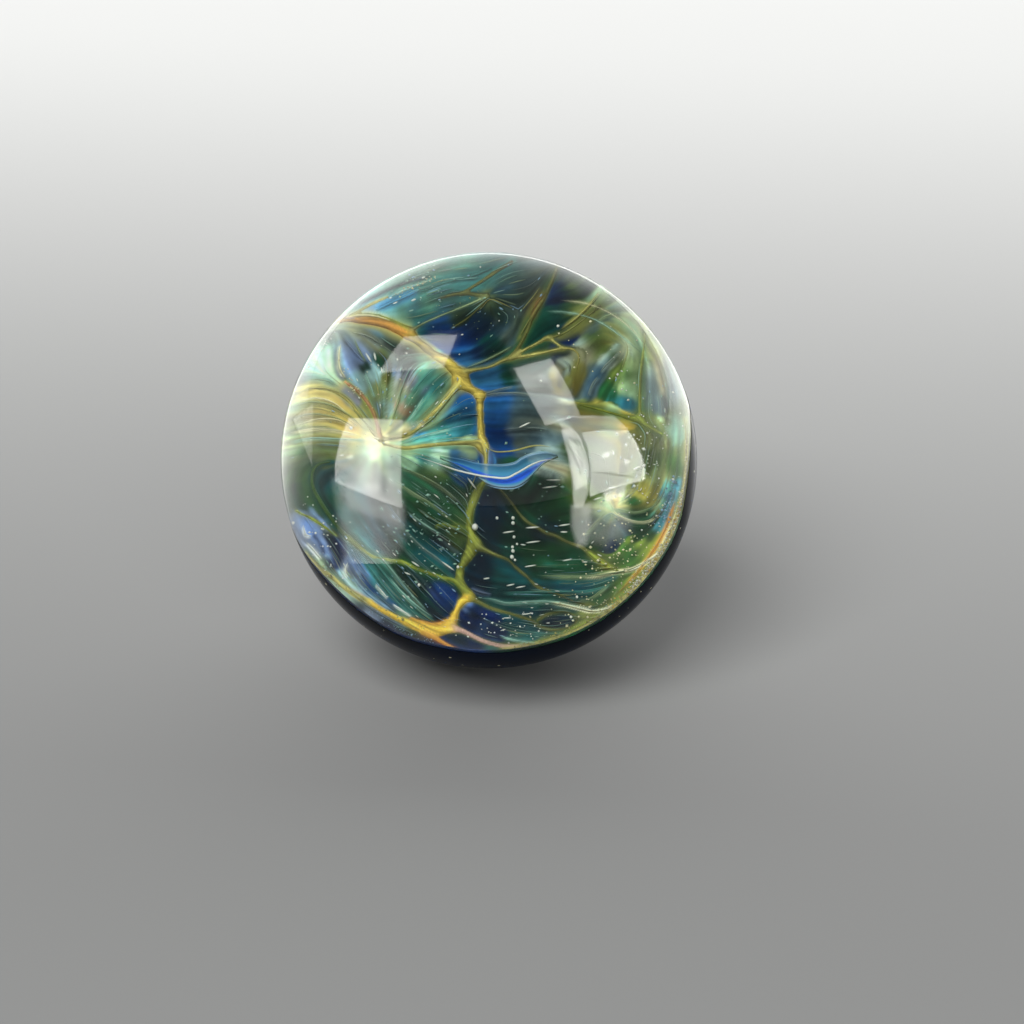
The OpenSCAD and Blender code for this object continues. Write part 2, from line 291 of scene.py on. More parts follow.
# Veins of the web: colour of the core, colour of the haze beside it, the haze's reach in pixels,
# then points with the half width there.
VEINS = {
    "shoulder": ("amber", "straw", 8, [(338, 322, 1), (348, 320, 1.6), (360, 320, 3.4), (375, 322, 4),
        (390, 326, 4.4), (408, 334, 5.2)]),
    "shoulder_top": ("lime", "sage", 4, [(352, 316, 1), (370, 315, 1.6), (388, 319, 1.8), (407, 329, 3)]),
    "brow": ("gold", "straw", 6, [(408, 334, 5), (420, 343, 4), (433, 353, 4), (447, 363, 5), (456, 371, 6),
        (461, 380, 8)]),
    "knee": ("gold", "olive", 5, [(461, 380, 8), (467, 386, 5), (474, 391, 3.6), (480, 396, 4)]),
    "thigh": ("gold", "olive", 5, [(480, 395, 4.4), (480, 404, 3.2), (480.5, 418, 2.7), (481, 432, 3),
        (483, 446, 4.6)]),
    "waist": ("straw", "lilac", 3, [(484, 447, 4), (486, 455, 2.2), (486, 465, 1.8), (486, 479, 2)]),
    "hip": ("citron", "moss", 7, [(485, 481, 1.6), (480, 488, 3), (475, 497, 4), (471, 508, 3.6),
        (469.5, 520, 3), (470.5, 532, 3.2), (474, 544, 5)]),
    "shin": ("citron", "dark_olive", 7, [(474, 545, 5.5), (468, 556, 4.5), (461, 568, 3.6),
        (459.5, 577, 3.6), (463, 586, 3), (470, 596, 3)]),
    "ankle": ("yellow", "olive", 5, [(470, 597, 3), (463, 601, 3.4), (457, 609, 2.8), (453, 618, 3),
        (450, 626, 5)]),
    "foot": ("yellow", "olive", 4, [(450, 626, 5), (440, 631, 5), (428, 630, 4.5), (414, 625, 3.6),
        (400, 619, 2.6), (384, 611, 2), (370, 602, 1.8)]),
    "toes": ("straw", "sage", 3, [(370, 602, 2), (357, 596, 2.2), (345, 588, 2), (333, 578, 1.8),
        (320, 569, 2), (305, 553, 1.6)]),
    # Painted shadow: the thin amber and rust line along the upper edge of the foot.
    "foot_painted_shadow": ("amber", "rust", 2, [(452, 619, 1), (440, 624, 1.2), (426, 623, 1), (412, 619, 0.7)]),
    "heel": ("amber", "rust", 2, [(424, 632, 2), (436, 638, 1.8), (448, 645, 1.4), (462, 651, 1),
        (478, 655, 0.8)]),
    "sole": ("rose", "moss", 3, [(452, 627, 3.4), (463, 631, 1.8), (475, 637, 1.3), (487, 642, 1.2),
        (503, 646, 1.1), (530, 648, 1)]),
    "arm": ("straw", "olive", 10, [(458, 384, 4.4), (450, 394, 3.4), (440, 407, 2.8), (428, 419, 2.4),
        (417, 429, 2), (405, 436, 1.6), (392, 438, 1.8), (380, 440, 2.2)]),
    "bridge": ("straw", "sage", 4, [(384, 444, 1), (405, 448, 1.6), (425, 446, 1.5), (445, 444, 1.4),
        (465, 443, 2), (482, 443, 3.4)]),
    "east_brow": ("straw", "olive", 4, [(465, 372, 3), (475, 370, 1.3), (490, 367, 1), (505, 360, 1.2),
        (520, 357, 1.2), (542, 353, 1.1), (560, 349, 1), (573, 349.5, 1.1), (579, 357, 0.9),
        (577, 368, 0.5)]),
    "mast": ("olive", "moss", 6, [(512, 357, 2), (519, 346, 2), (526, 333, 2.2), (532, 318, 2.4),
        (540, 304, 2.6), (547, 292, 2), (553, 279, 1.6), (558, 266, 1.4)]),
    "mast_rust": ("rust", "rust", 2, [(533, 315, 0.6), (537, 305, 1.4), (543, 297, 0.8)]),
    "north": ("sage", "smoke", 1.5, [(410, 331, 1.4), (424, 323, 0.6), (440, 316, 0.5), (460, 308, 0.5),
        (486, 297, 0.9)]),
    "north_low": ("olive", "dark_olive", 2, [(452, 328, 0.4), (465, 320, 0.5), (478, 309, 0.6),
        (487, 299, 0.7)]),
    "crown": ("olive", "sea", 4, [(512, 262, 1.4), (500, 269, 1.6), (488, 277, 1.6), (474, 286, 1.2),
        (462, 293, 0.8)]),
    "star_west": ("olive", "smoke", 2, [(487, 296, 2), (472, 294, 1), (456, 294, 0.8), (440, 298, 0.5)]),
    "ne_band": ("olive", "moss", 8, [(600, 306, 0.5), (588, 316, 0.8), (575, 326, 0.9), (562, 334, 0.9),
        (548, 339, 1.4)]),
    "ne_fork": ("straw", "moss", 3, [(512, 357, 1.2), (530, 347, 0.9), (540, 342, 0.9), (548, 338, 1.2),
        (556, 343, 0.8), (563, 348, 0.8)]),
    "east_mast": ("lime", "leaf", 4, [(645, 334, 0.6), (643.5, 352, 0.8), (641, 372, 1), (640, 392, 1),
        (640, 408, 1.2), (641, 419, 3)]),
    "east_beam": ("lime", "moss", 4, [(580, 405, 0.8), (597, 409, 1.2), (615, 414, 1.6), (630, 418, 2.4),
        (641, 420, 4), (650, 427, 2), (662, 434, 0.8)]),
    "brown": ("olive", "dark_olive", 3, [(500, 489, 0.5), (512, 503, 0.7), (519, 513, 0.8), (528, 522, 1),
        (538, 528, 1.1), (547, 533, 1.1), (556, 536, 1), (568, 542, 1), (580, 546, 1), (590, 553, 1.4)]),
    "amber_spot": ("lime", "olive", 4, [(591, 554, 1.6), (598, 560, 2.2), (607, 566, 2.2), (618, 571, 1)]),
    "south_thread": ("olive", "dark_olive", 2, [(477, 546, 3), (487, 551, 1.6), (498, 556, 1),
        (508, 560, 0.8), (517, 568, 0.9), (528, 578, 0.8), (538, 587, 1), (548, 591, 1), (560, 595, 0.8),
        (575, 602, 0.8), (584, 604, 0.8)]),
    "lens": ("olive", "moss", 2, [(471, 598, 1.6), (480, 603, 1.2), (494, 609, 0.9), (512, 614, 0.8),
        (532, 621, 0.8), (541, 627, 1), (556, 630, 0.9), (572, 626, 0.8), (577, 618, 0.8), (565, 612, 0.7),
        (548, 614, 0.7), (538, 620, 0.7)]),
    "west_green": ("leaf", "forest", 5, [(330, 462, 0.8), (318, 465, 1.2), (312, 474, 1.4), (313, 487, 1.4),
        (320, 501, 1.6), (331, 518, 1.6), (345, 535, 1.4), (358, 547, 1.2)]),
    "west_bright": ("lime", "leaf", 3, [(348, 538, 0.8), (358, 547, 1.1), (372, 556, 0.8), (390, 560, 0.9),
        (405, 563, 1.1), (425, 572, 1.2), (440, 577, 1.2), (454, 581, 1.4), (463, 590, 1.2),
        (471, 597, 1.4)]),
    "west_lime": ("lime", "olive", 2, [(296, 511, 0.9), (306, 516, 1.1), (316, 521, 1.2), (326, 528, 1.3),
        (336, 536, 1)]),
    "rim_orange": ("straw", "aqua", 2, [(340, 322, 0.8), (350, 316, 0.8), (361, 310, 0.8), (372, 304, 0.8),
        (388, 297, 0.5)]),
    "fan_orange": ("peach", "lime", 2, [(345, 382, 0.6), (352, 387, 1), (360, 393, 1.3), (368, 403, 1.4),
        (374, 414, 1.4), (378, 428, 1.6), (380, 438, 2)]),
    "fan_gold": ("straw", "sage", 2, [(318, 389, 0.6), (332, 391, 0.8), (346, 399, 1), (356, 410, 1),
        (366, 424, 0.8), (376, 437, 1.2)]),
    "rim_fine": ("straw", "olive", 3, [(686, 446, 0.7), (686.4, 460, 0.8), (685, 477, 1),
        (682.6, 494, 1.2)]),
    "rim_gold": ("straw", "citron", 6, [(682.6, 494, 1.4), (679, 511, 2.4), (671.5, 534, 3.4),
        (658.5, 558, 3.2), (642.5, 580, 3), (623.5, 599.5, 2.8), (599, 618, 2.2), (570, 633.4, 1.9),
        (538, 643.8, 1.8), (505, 649.4, 1.6)]),
}

# Cells of dark glass that the veins hold: how soft the edge is in pixels, then the outline.
POCKETS = {
    "north": (2.0, [(415, 333), (430, 324), (455, 314), (474, 306), (486, 304), (492, 318), (494, 334),
        (508, 350), (496, 360), (480, 365), (466, 366), (455, 362), (440, 350), (426, 340)]),
    "north_east": (2.5, [(548, 298), (556, 282), (572, 286), (588, 298), (578, 314), (560, 328), (542, 338),
        (524, 348), (530, 334), (540, 316)]),
    "north_east_low": (1.6, [(556, 336), (568, 331), (584, 323), (590, 328), (582, 338), (572, 344),
        (562, 342)]),
    "cell_blue": (1.2, [(466, 375), (476, 371.5), (490, 368.5), (504, 364), (516, 366), (518, 376),
        (512, 384), (500, 388), (488, 391), (480, 389), (473, 384)]),
    "cell_navy": (1.2, [(485, 398), (500, 396), (530, 397), (552, 402), (558, 425), (552, 441), (535, 444),
        (515, 448), (497, 449), (488, 444), (485, 434), (484.5, 416)]),
    "mid_teal": (3.0, [(462, 394), (474, 396), (476, 410), (476, 430), (470, 438), (448, 440), (420, 442),
        (412, 438), (430, 426), (446, 410), (455, 399)]),
    "under_bridge": (2.0, [(402, 457), (430, 455), (460, 455), (480, 456), (482, 464), (482, 473),
        (462, 470), (440, 464), (418, 459)]),
    "dark_east": (1.2, [(484, 490), (500, 491), (525, 490), (560, 494), (566, 520), (558, 530), (545, 530),
        (534, 524), (548, 538), (575, 547), (570, 562), (545, 574), (532, 576), (520, 566), (508, 556),
        (496, 551), (486, 545), (478, 537), (475, 526), (475, 513), (478, 501)]),
    "south": (1.2, [(482, 552), (492, 557), (504, 562), (514, 570), (526, 581), (536, 590), (548, 595),
        (560, 600), (540, 601), (510, 600), (492, 598), (478, 597), (471, 591), (466, 583), (465, 573),
        (468, 564), (474, 556)]),
    "toe": (1.2, [(472, 603), (482, 607), (494, 612), (512, 617), (530, 624), (540, 631), (536, 640),
        (515, 641), (494, 640), (478, 636), (466, 630), (459, 623), (459, 615), (464, 608)]),
    "lens": (1.2, [(542, 621), (549, 617), (562, 615), (573, 619), (571, 624), (560, 627), (549, 627)]),
    "heel": (1.2, [(440, 637), (450, 634), (462, 636), (474, 641), (484, 646), (470, 650), (452, 644)]),
    "low": (1.6, [(390, 565), (405, 568), (425, 577), (440, 583), (452, 588), (458, 594), (455, 604),
        (449, 614), (440, 620), (428, 619), (414, 608), (398, 590)]),
    "west": (2.5, [(322, 470), (334, 466), (338, 480), (338, 500), (345, 520), (352, 534), (336, 518),
        (324, 500), (317, 485)]),
    "rag": (2.0, [(330, 536), (340, 542), (344, 555), (342, 567), (334, 566), (328, 552), (324, 542)]),
}

# Soft bands: colour, how solid, how soft at its edges, then points with the half width there.
VEILS = {
    "rim_haze": ("aqua", 0.5, 1.0, [(330, 322, 4), (352, 303, 5), (385, 281, 6), (420, 266, 5),
        (450, 258, 4)]),
    "rim_dark": ("night", 0.7, 0.8, [(356, 306, 0.8), (372, 298, 1.3), (390, 289, 1.3), (428, 275, 0.8)]),
    "rim_spark": ("aqua", 0.6, 0.9, [(388, 298, 1), (402, 291, 2), (416, 285, 2.4), (434, 279, 1)]),
    "sea_band": ("sea", 0.5, 1.0, [(420, 292, 3), (445, 282, 5), (470, 276, 5), (492, 268, 3)]),
    "azure_band": ("azure", 0.8, 0.9, [(376, 310, 2), (390, 303, 4), (404, 297, 4), (420, 290, 2)]),
    "shoulder_light": ("rose", 0.5, 1.0, [(334, 320, 2), (345, 318, 3), (356, 318, 3)]),
    "north_edge": ("sage", 0.4, 0.9, [(466, 368, 1.4), (484, 361, 1.6), (500, 353, 1.4), (512, 346, 1)]),
    "swirl_a": ("slate", 0.22, 1, [(500, 304, 1), (510, 314, 1.8), (512, 328, 2), (504, 342, 1.2)]),
    "mast_haze": ("olive", 0.5, 1.0, [(516, 345, 2), (524, 325, 3), (534, 306, 4), (544, 285, 4)]),
    "cell_lines": ("fog", 0.4, 0.8, [(484, 395, 1.2), (500, 393, 1), (520, 393, 1.2), (540, 396, 0.6)]),
    "cell_lines_b": ("fog", 0.35, 0.8, [(484, 394, 1.2), (500, 389, 1.2), (514, 386, 0.8)]),
    "east_swirl": ("fog", 0.4, 0.9, [(620, 350, 0.6), (612, 359, 1.4), (605, 366, 1.4), (600, 373, 0.6)]),
    "east_swirl_b": ("fog", 0.3, 1, [(598, 376, 1), (592, 385, 2.4), (588, 396, 1.6)]),
    "east_curl": ("fog", 0.3, 0.8, [(563, 360, 0.6), (569, 366, 1.2), (568, 376, 0.8)]),
    "east_olive": ("moss", 0.4, 1.0, [(636, 350, 3), (632, 372, 4), (630, 395, 3)]),
    "east_rim_haze": ("fog", 0.45, 1.0, [(655, 330, 3), (668, 352, 4), (678, 380, 4), (684, 402, 3)]),
    "east_rim_low": ("straw", 0.5, 1.0, [(684, 412, 2), (686, 440, 2), (686, 470, 1.6)]),
    "west_crescent": ("cream", 0.6, 0.9, [(341, 343, 0.6), (339, 355, 1.2), (340, 368, 1.4),
        (346, 379, 0.8)]),
    "west_pale": ("sage", 0.6, 0.9, [(354, 338, 0.8), (359, 350, 1.4), (366, 362, 1)]),
    "west_streak": ("aqua", 0.6, 0.8, [(365, 372, 0.6), (370, 384, 1), (375, 398, 0.8)]),
    "fan_pale_a": ("aqua", 0.55, 0.9, [(400, 445, 1), (418, 437, 1), (436, 432, 1), (452, 428, 0.6)]),
    "fan_pale_b": ("sage", 0.5, 0.9, [(390, 426, 1.4), (398, 402, 2), (403, 384, 1.4)]),
    "fan_pale_c": ("aqua", 0.5, 0.9, [(408, 422, 0.8), (416, 410, 1), (424, 396, 0.8)]),
    "fan_teal": ("sea", 0.5, 1.0, [(412, 392, 2), (424, 378, 3), (436, 366, 2)]),
    "fan_light_a": ("cream", 0.5, 0.9, [(298, 402, 1), (316, 398, 1.4), (334, 403, 1.2), (350, 416, 0.8)]),
    "fan_light_b": ("cream", 0.4, 0.9, [(294, 426, 1.4), (318, 419, 1.4), (338, 420, 1), (352, 428, 0.8)]),
    "fan_light_c": ("aqua", 0.5, 0.9, [(288, 442, 1), (312, 438, 1.4), (340, 439, 1.4), (372, 440, 1.4)]),
    "fan_dark_a": ("olive", 0.28, 0.9, [(300, 398, 1), (322, 394, 1.6), (342, 403, 1.6), (356, 418, 1)]),
    "fan_dark_b": ("olive", 0.28, 0.9, [(298, 412, 1), (320, 407, 1.4), (338, 412, 1.2), (350, 422, 0.8)]),
    "fan_dark_c": ("olive", 0.28, 0.9, [(310, 432, 1), (328, 430, 1.4), (344, 433, 1)]),
    "fan_dark_d": ("moss", 0.4, 1.0, [(300, 452, 2), (318, 449, 3), (336, 452, 2)]),
    "funnel_heart": ("cream", 0.9, 1.0, [(372, 437, 2), (380, 439, 5), (390, 439, 3)]),
    "green_band": ("leaf", 0.45, 1.0, [(308, 466, 2), (303, 480, 4), (308, 500, 4), (322, 520, 3)]),
    "teal_diag": ("sea", 0.5, 1.0, [(358, 548, 3), (376, 564, 5), (396, 588, 5), (420, 612, 4),
        (436, 622, 1)]),
    "teal_diag_b": ("aqua", 0.4, 0.9, [(388, 576, 1), (404, 594, 1.6), (420, 608, 1.6), (434, 618, 0.8)]),
    "rag_white_a": ("white", 0.6, 0.9, [(303, 524, 0.8), (306, 534, 1.3), (312, 536, 0.8)]),
    "rag_white_b": ("white", 0.5, 1.0, [(306, 542, 1), (314, 550, 2), (322, 560, 1.4)]),
    "rag_blue": ("navy", 0.7, 0.9, [(312, 532, 1), (320, 542, 1.6), (326, 554, 1.2)]),
    "rag_edge": ("white", 0.5, 0.9, [(348, 562, 1), (345, 570, 1.4), (348, 578, 1.2)]),
    "rag_royal": ("royal", 0.6, 0.8, [(360, 570, 1), (366, 580, 2.2), (374, 590, 2.6), (384, 600, 1.6)]),
    "rag_white_c": ("white", 0.6, 0.8, [(375, 583, 0.4), (381, 590, 0.8), (388, 598, 0.4)]),
    "rag_white_d": ("white", 0.45, 0.8, [(392, 603, 0.4), (402, 610, 0.8), (412, 617, 0.5)]),
    "rag_sky": ("sky", 0.5, 0.9, [(352, 574, 1.4), (362, 588, 2), (376, 600, 2), (392, 611, 1.4)]),
    "toes_rose": ("rose", 0.6, 1.0, [(342, 585, 1), (352, 592, 2.4), (364, 599, 2.4), (376, 606, 1.2)]),
    "foot_bright": ("gold", 0.6, 1.0, [(396, 617, 1), (412, 623, 2.4), (430, 629, 3), (446, 628, 3)]),
    "under_foot": ("lilac", 0.35, 1.0, [(360, 601, 1), (376, 612, 2), (392, 621, 1.6), (408, 629, 1)]),
    "field_streak_a": ("aqua", 0.5, 0.9, [(409, 512, 0.6), (420, 521, 1), (432, 529, 1), (442, 534, 0.6)]),
    "field_streak_b": ("slate", 0.7, 0.9, [(430, 527, 1), (446, 541, 2), (462, 556, 1)]),
    "field_streak_c": ("deep_teal", 0.7, 1.0, [(404, 520, 2), (420, 540, 4), (444, 560, 3)]),
    "field_streak_d": ("fog", 0.35, 0.9, [(400, 524, 0.6), (420, 545, 1), (440, 560, 1), (452, 572, 0.6)]),
    "field_dark": ("black", 0.5, 1.0, [(414, 498, 2), (430, 508, 3), (448, 520, 2)]),
    "field_lime": ("lime", 0.5, 0.9, [(434, 526, 1), (442, 524, 1.4), (452, 526, 0.8), (462, 529, 0.6)]),
    "hip_dots": ("lime", 0.6, 1.0, [(480, 487, 1), (476, 496, 2), (472, 505, 1.4)]),
    "toe_line": ("aqua", 0.12, 0.9, [(478, 616, 0.6), (492, 622, 0.8), (510, 628, 0.8), (532, 632, 1),
        (560, 634, 1.2), (584, 628, 1.2), (606, 616, 0.8)]),
    "south_line": ("aqua", 0.42, 0.9, [(476, 598, 0.8), (492, 599, 1.2), (506, 602.5, 1.2),
        (525, 601.5, 1.2), (545, 601, 1.3), (560, 603, 1.3), (575, 606.5, 1.3), (590, 610, 1.2),
        (604, 609.5, 1.2), (618, 603, 1.2), (636, 591, 1.2), (652, 576, 0.8)]),
    "south_dark": ("night", 0.6, 1.0, [(500, 610, 1), (525, 612, 3), (552, 610, 2)]),
    "high_line": ("sage", 0.85, 0.9, [(536, 575, 0.6), (562, 576, 1.2), (590, 576, 1.5), (612, 573, 2),
        (628, 570, 2.2), (644, 563, 2), (658, 554, 1.6), (668, 545, 0.8)]),
    "high_teal": ("teal", 0.6, 1.0, [(548, 580, 2), (575, 581, 3), (600, 579, 3), (622, 576, 2)]),
    "purple_edge": ("lilac", 0.35, 1.0, [(470, 588, 1), (480, 592, 2), (492, 594, 1)]),
    "south_arc": ("sage", 0.6, 0.9, [(576, 602, 0.6), (590, 598, 1), (600, 591, 1), (609, 583, 0.6)]),
    "south_arc_b": ("sage", 0.5, 0.9, [(613, 600, 0.8), (616, 592, 0.8), (622, 585, 0.6)]),
    "east_pale_a": ("cream", 0.3, 1.0, [(612, 508, 1), (618, 515, 1.2), (632, 520.5, 0.8), (646, 521, 0.7),
        (656, 516, 0.4)]),
    "east_pale_b": ("sage", 0.5, 0.9, [(614, 508, 1.4), (634, 512, 1), (650, 508, 1), (662, 500, 0.6)]),
    "east_pale_c": ("sage", 0.5, 0.9, [(606, 512, 1.2), (594, 524, 1.4), (584, 536, 1)]),
    "east_gold": ("amber", 0.95, 0.8, [(676, 498, 0.6), (671, 513, 1.6), (666, 527, 2.2), (659, 541, 2.4),
        (648, 557, 2.2), (635, 574, 1.8), (616, 596, 1.0)]),
    "east_gold_low": ("lime", 0.35, 1, [(654, 548, 2), (644, 562, 3), (628, 582, 3), (608, 602, 2)]),
    "east_cream": ("cream", 0.9, 0.8, [(684, 486, 1), (681, 503, 1.6), (675, 522, 2.2), (668, 538, 3),
        (660, 553, 2.2), (650, 567, 1)]),
    "rim_olive": ("lime", 0.5, 1, [(560, 635, 1), (580, 626, 2), (598, 615, 1.6)]),
    "ne_arc": ("aqua", 0.35, 0.9, [(545, 311, 0.4), (566, 312, 0.7), (588, 317, 0.8), (605, 325, 0.9),
        (622, 337, 0.8), (640, 352, 0.5)]),
    "ne_arc_b": ("cream", 0.25, 0.9, [(560, 300, 0.4), (584, 303, 0.7), (606, 311, 0.8), (628, 326, 0.8),
        (646, 346, 0.5)]),
    "ne_arc_c": ("sage", 0.5, 0.9, [(596, 322, 0.6), (606, 316, 1.2), (617, 313, 0.8)]),
    "ne_olive": ("olive", 0.6, 1.0, [(606, 300, 2), (596, 312, 4), (582, 324, 5), (566, 334, 4),
        (552, 340, 2)]),
    "ne_olive_b": ("straw", 0.35, 1.0, [(600, 290, 1), (590, 304, 2), (576, 318, 2), (560, 330, 1)]),
    "fan_gold_a": ("straw", 0.35, 0.9, [(296, 394, 0.8), (312, 388, 1.4), (330, 389, 1.6), (348, 398, 1.2),
        (362, 416, 0.8)]),
    "fan_gold_b": ("sage", 0.45, 0.9, [(290, 408, 0.8), (308, 402, 1.6), (328, 404, 1.6), (348, 414, 1.2),
        (364, 428, 0.8)]),
    "fan_gold_c": ("sage", 0.4, 0.9, [(288, 420, 0.8), (310, 414, 1.6), (334, 417, 1.4), (356, 427, 1)]),
    "fan_gold_d": ("cream", 0.4, 0.9, [(288, 433, 0.8), (314, 429, 1.4), (340, 431, 1.2), (362, 436, 0.8)]),
    "field_comb_a": ("sage", 0.35, 0.9, [(394, 480, 0.6), (412, 492, 1.2), (432, 504, 1.2),
        (452, 520, 0.8)]),
    "field_comb_b": ("sage", 0.3, 0.9, [(396, 466, 0.6), (418, 474, 1.2), (440, 486, 1.2),
        (460, 502, 0.8)]),
    "low_comb_a": ("aqua", 0.35, 0.9, [(372, 548, 0.6), (390, 568, 1.2), (408, 590, 1.2), (428, 612, 0.8)]),
    "low_comb_b": ("sea", 0.6, 0.9, [(360, 556, 0.6), (376, 576, 1.6), (392, 596, 1.6), (410, 614, 0.8)]),
    "south_comb_a": ("sea", 0.5, 0.9, [(500, 592, 0.6), (530, 592, 1.4), (560, 592, 1.6), (590, 590, 1.4),
        (616, 582, 0.8)]),
    "high_light": ("cream", 0.95, 0.7, [(580, 576.5, 0.4), (600, 575, 0.9), (618, 571.5, 1.3),
        (636, 566.5, 1.5), (652, 558, 1.3), (666, 548, 0.6)]),
    "south_light": ("cream", 0.9, 0.7, [(548, 601.5, 0.4), (564, 604.5, 0.8), (580, 608.5, 1),
        (596, 611, 1.1), (611, 607.5, 1.1), (626, 598.5, 1), (644, 585, 0.5)]),
    "low_light": ("aqua", 0.85, 0.8, [(498, 635, 0.4), (514, 640, 0.8), (534, 643, 1.1), (556, 643, 1.2),
        (580, 635, 1.0), (602, 625, 0.6)]),
    "shoulder_mist": ("cream", 0.5, 1.0, [(346, 317, 2), (360, 315, 3), (376, 316, 3), (392, 321, 2)]),
    "amber_spot": ("gold", 0.5, 1.0, [(592, 555, 1), (602, 563, 2), (614, 570, 1)]),
    "arm_light": ("sage", 0.7, 1.0, [(455, 391, 3), (445, 403, 5), (431, 419, 6), (415, 431, 3)]),
    "rim_azure_a": ("fog", 0.4, 1.0, [(676, 486, 0.6), (672, 500, 1.4), (665, 515, 1)]),
    "rim_azure_b": ("blue", 0.4, 1.0, [(670, 488, 0.6), (666, 502, 1.2), (659, 516, 0.8)]),
    "cell_mist": ("fog", 0.2, 1.0, [(502, 430, 4), (520, 428, 7), (538, 428, 6), (548, 430, 3)]),
    "fan_mist": ("straw", 0.25, 1.0, [(298, 410, 6), (318, 408, 9), (338, 414, 8)]),
    "west_mist": ("lilac", 0.4, 1.0, [(342, 336, 4), (352, 348, 7), (364, 362, 7)]),
    "west_mist_b": ("fog", 0.3, 1.0, [(352, 332, 3), (368, 336, 5), (384, 346, 5)]),
    "foot_band": ("olive", 0.8, 0.8, [(492, 652, 1), (512, 649, 2.4), (534, 646, 3), (558, 640, 2.6),
        (582, 630, 2)]),
}

# Places that the flow runs out from, like spokes: middle and reach in pixels.
FUNNELS = {"west": (380, 440, 62), "east": (612, 512, 26), "star": (487, 297, 28)}

# Lines that only say which way the glass was drawn.
GUIDES = {
    "field": [(400, 478), (430, 500), (462, 530)], "low": [(352, 512), (390, 556), (440, 618)],
    "rags": [(296, 520), (318, 555), (350, 590)], "south": [(490, 575), (540, 583), (600, 580)],
    "mid_east": [(492, 410), (530, 412), (570, 420)], "ne": [(600, 288), (570, 315), (535, 345)],
    "north": [(430, 345), (465, 345), (500, 325)], "crown": [(380, 292), (440, 270), (520, 262)],
    "east": [(672, 345), (682, 400), (680, 460)], "east_low": [(672, 470), (652, 530), (610, 580)],
}

# Where silky threads show in the glass: middle and reach in pixels, and strength.
SILK = {
    "fan": (335, 415, 38, 0.2), "up": (405, 385, 36, 0.7), "mid": (440, 450, 30, 0.6),
    "field": (435, 505, 36, 0.6), "low": (400, 580, 40, 0.9), "rags": (330, 560, 34, 1.0),
    "south": (560, 600, 55, 0.6), "toe": (510, 632, 30, 0.4), "east": (640, 480, 38, 0.45),
    "north": (500, 310, 34, 0.3), "crown": (430, 280, 40, 0.6), "east_rim": (665, 380, 30, 0.4),
}

# Short bright dashes set in the glass, from end to end.
DASHES = {
    "hip": (467, 477, 477, 490), "ribbon_far": (541, 488, 558, 486), "ribbon_low": (545, 480, 562, 480),
    "saddle": (518, 428, 531, 422), "mid_a": (502, 533, 515, 531), "mid_b": (525, 528, 540, 527),
    "mid_c": (525, 543, 541, 541), "mid_d": (558, 526, 571, 524), "mid_e": (560, 532, 568, 532),
    "mid_f": (562, 561, 573, 559), "mid_g": (582, 562, 588, 562), "mid_h": (524, 567, 537, 565),
    "south_a": (483, 579, 490, 578), "south_b": (506, 586, 515, 584), "south_c": (515, 588, 526, 586),
    "toe_a": (521, 615, 533, 613), "toe_b": (503, 618, 512, 618), "toe_c": (500, 631, 506, 629),
    "field_a": (441, 561, 455, 571), "field_b": (411, 561, 420, 567), "field_c": (404, 572, 411, 575),
    "fan_a": (365, 352, 372, 363), "fan_b": (374, 352, 376, 361), "east_a": (593, 500, 603, 497),
    "east_b": (607, 489, 617, 487), "east_c": (632, 470, 641, 466),
}

# Swarms of tiny specks: colour, middle, spread across and down, how many, size and stretch.
SPECKS = {
    "east_low": ("cream", 628, 556, 30, 34, 170, 0.8, 1.5),
    "south_east": ("cream", 590, 608, 36, 14, 70, 0.8, 1.5),
    "mid": ("aqua", 535, 480, 50, 46, 60, 0.75, 2.4), "east": ("white", 650, 460, 22, 40, 90, 0.8, 1.3),
    "field": ("aqua", 425, 535, 40, 44, 100, 0.75, 2.4),
    "west_low": ("white", 318, 545, 22, 30, 50, 0.9, 1.5), "fan": ("cream", 385, 395, 34, 34, 30, 0.7, 1.4),
    "north_west": ("aqua", 410, 285, 30, 14, 26, 0.8, 1.6),
    "north_east": ("cream", 606, 340, 34, 40, 20, 0.8, 1.3),
    "north": ("sage", 480, 310, 34, 26, 26, 0.6, 1.4), "toe": ("white", 500, 628, 40, 14, 40, 0.7, 1.6),
    "far_east": ("white", 618, 376, 8, 18, 12, 1.1, 1.2), "blue": ("aqua", 440, 410, 24, 22, 26, 0.6, 1.8),
}

# Dust of metal along lines: colour, how many, size, then points with the half width of the scatter.
DUST = {
    "rim_top": ("cream", 60, 0.6, [(686, 440, 1), (686, 470, 1.4), (682, 496, 2)]),
    "rim": ("cream", 260, 0.6, [(682, 496, 2), (676, 520, 3), (666, 542, 4), (650, 566, 3), (630, 590, 3)]),
    "rim_low": ("straw", 220, 0.55, [(630, 590, 3), (606, 611, 3.5), (580, 625, 3), (545, 640, 2),
        (510, 648, 1.5)]),
    "azure": ("sky", 70, 0.8, [(674, 478, 4), (670, 500, 5), (662, 522, 5)]),
    "shoulder": ("cream", 60, 0.55, [(388, 297, 1.5), (405, 290, 2), (420, 283, 2), (434, 278, 1.5)]),
    "west_rim": ("white", 40, 0.55, [(336, 330, 2), (322, 348, 3), (311, 368, 2)]),
    "foot": ("straw", 70, 0.6, [(312, 560, 2), (345, 588, 3), (385, 612, 3), (430, 628, 3)]),
    "heel": ("sky", 40, 0.5, [(372, 612, 3), (400, 630, 3), (430, 642, 3)]),
    "fan": ("cream", 26, 0.8, [(346, 370, 3), (352, 386, 3), (362, 392, 2)]),
    "rim_bright": ("white", 200, 0.6, [(683, 490, 2), (676, 520, 3), (666, 542, 4), (650, 566, 3),
        (630, 590, 3)]),
    "rim_yellow": ("yellow", 220, 0.6, [(682, 500, 2), (674, 526, 3), (660, 552, 4), (640, 580, 3),
        (610, 607, 3)]),
}
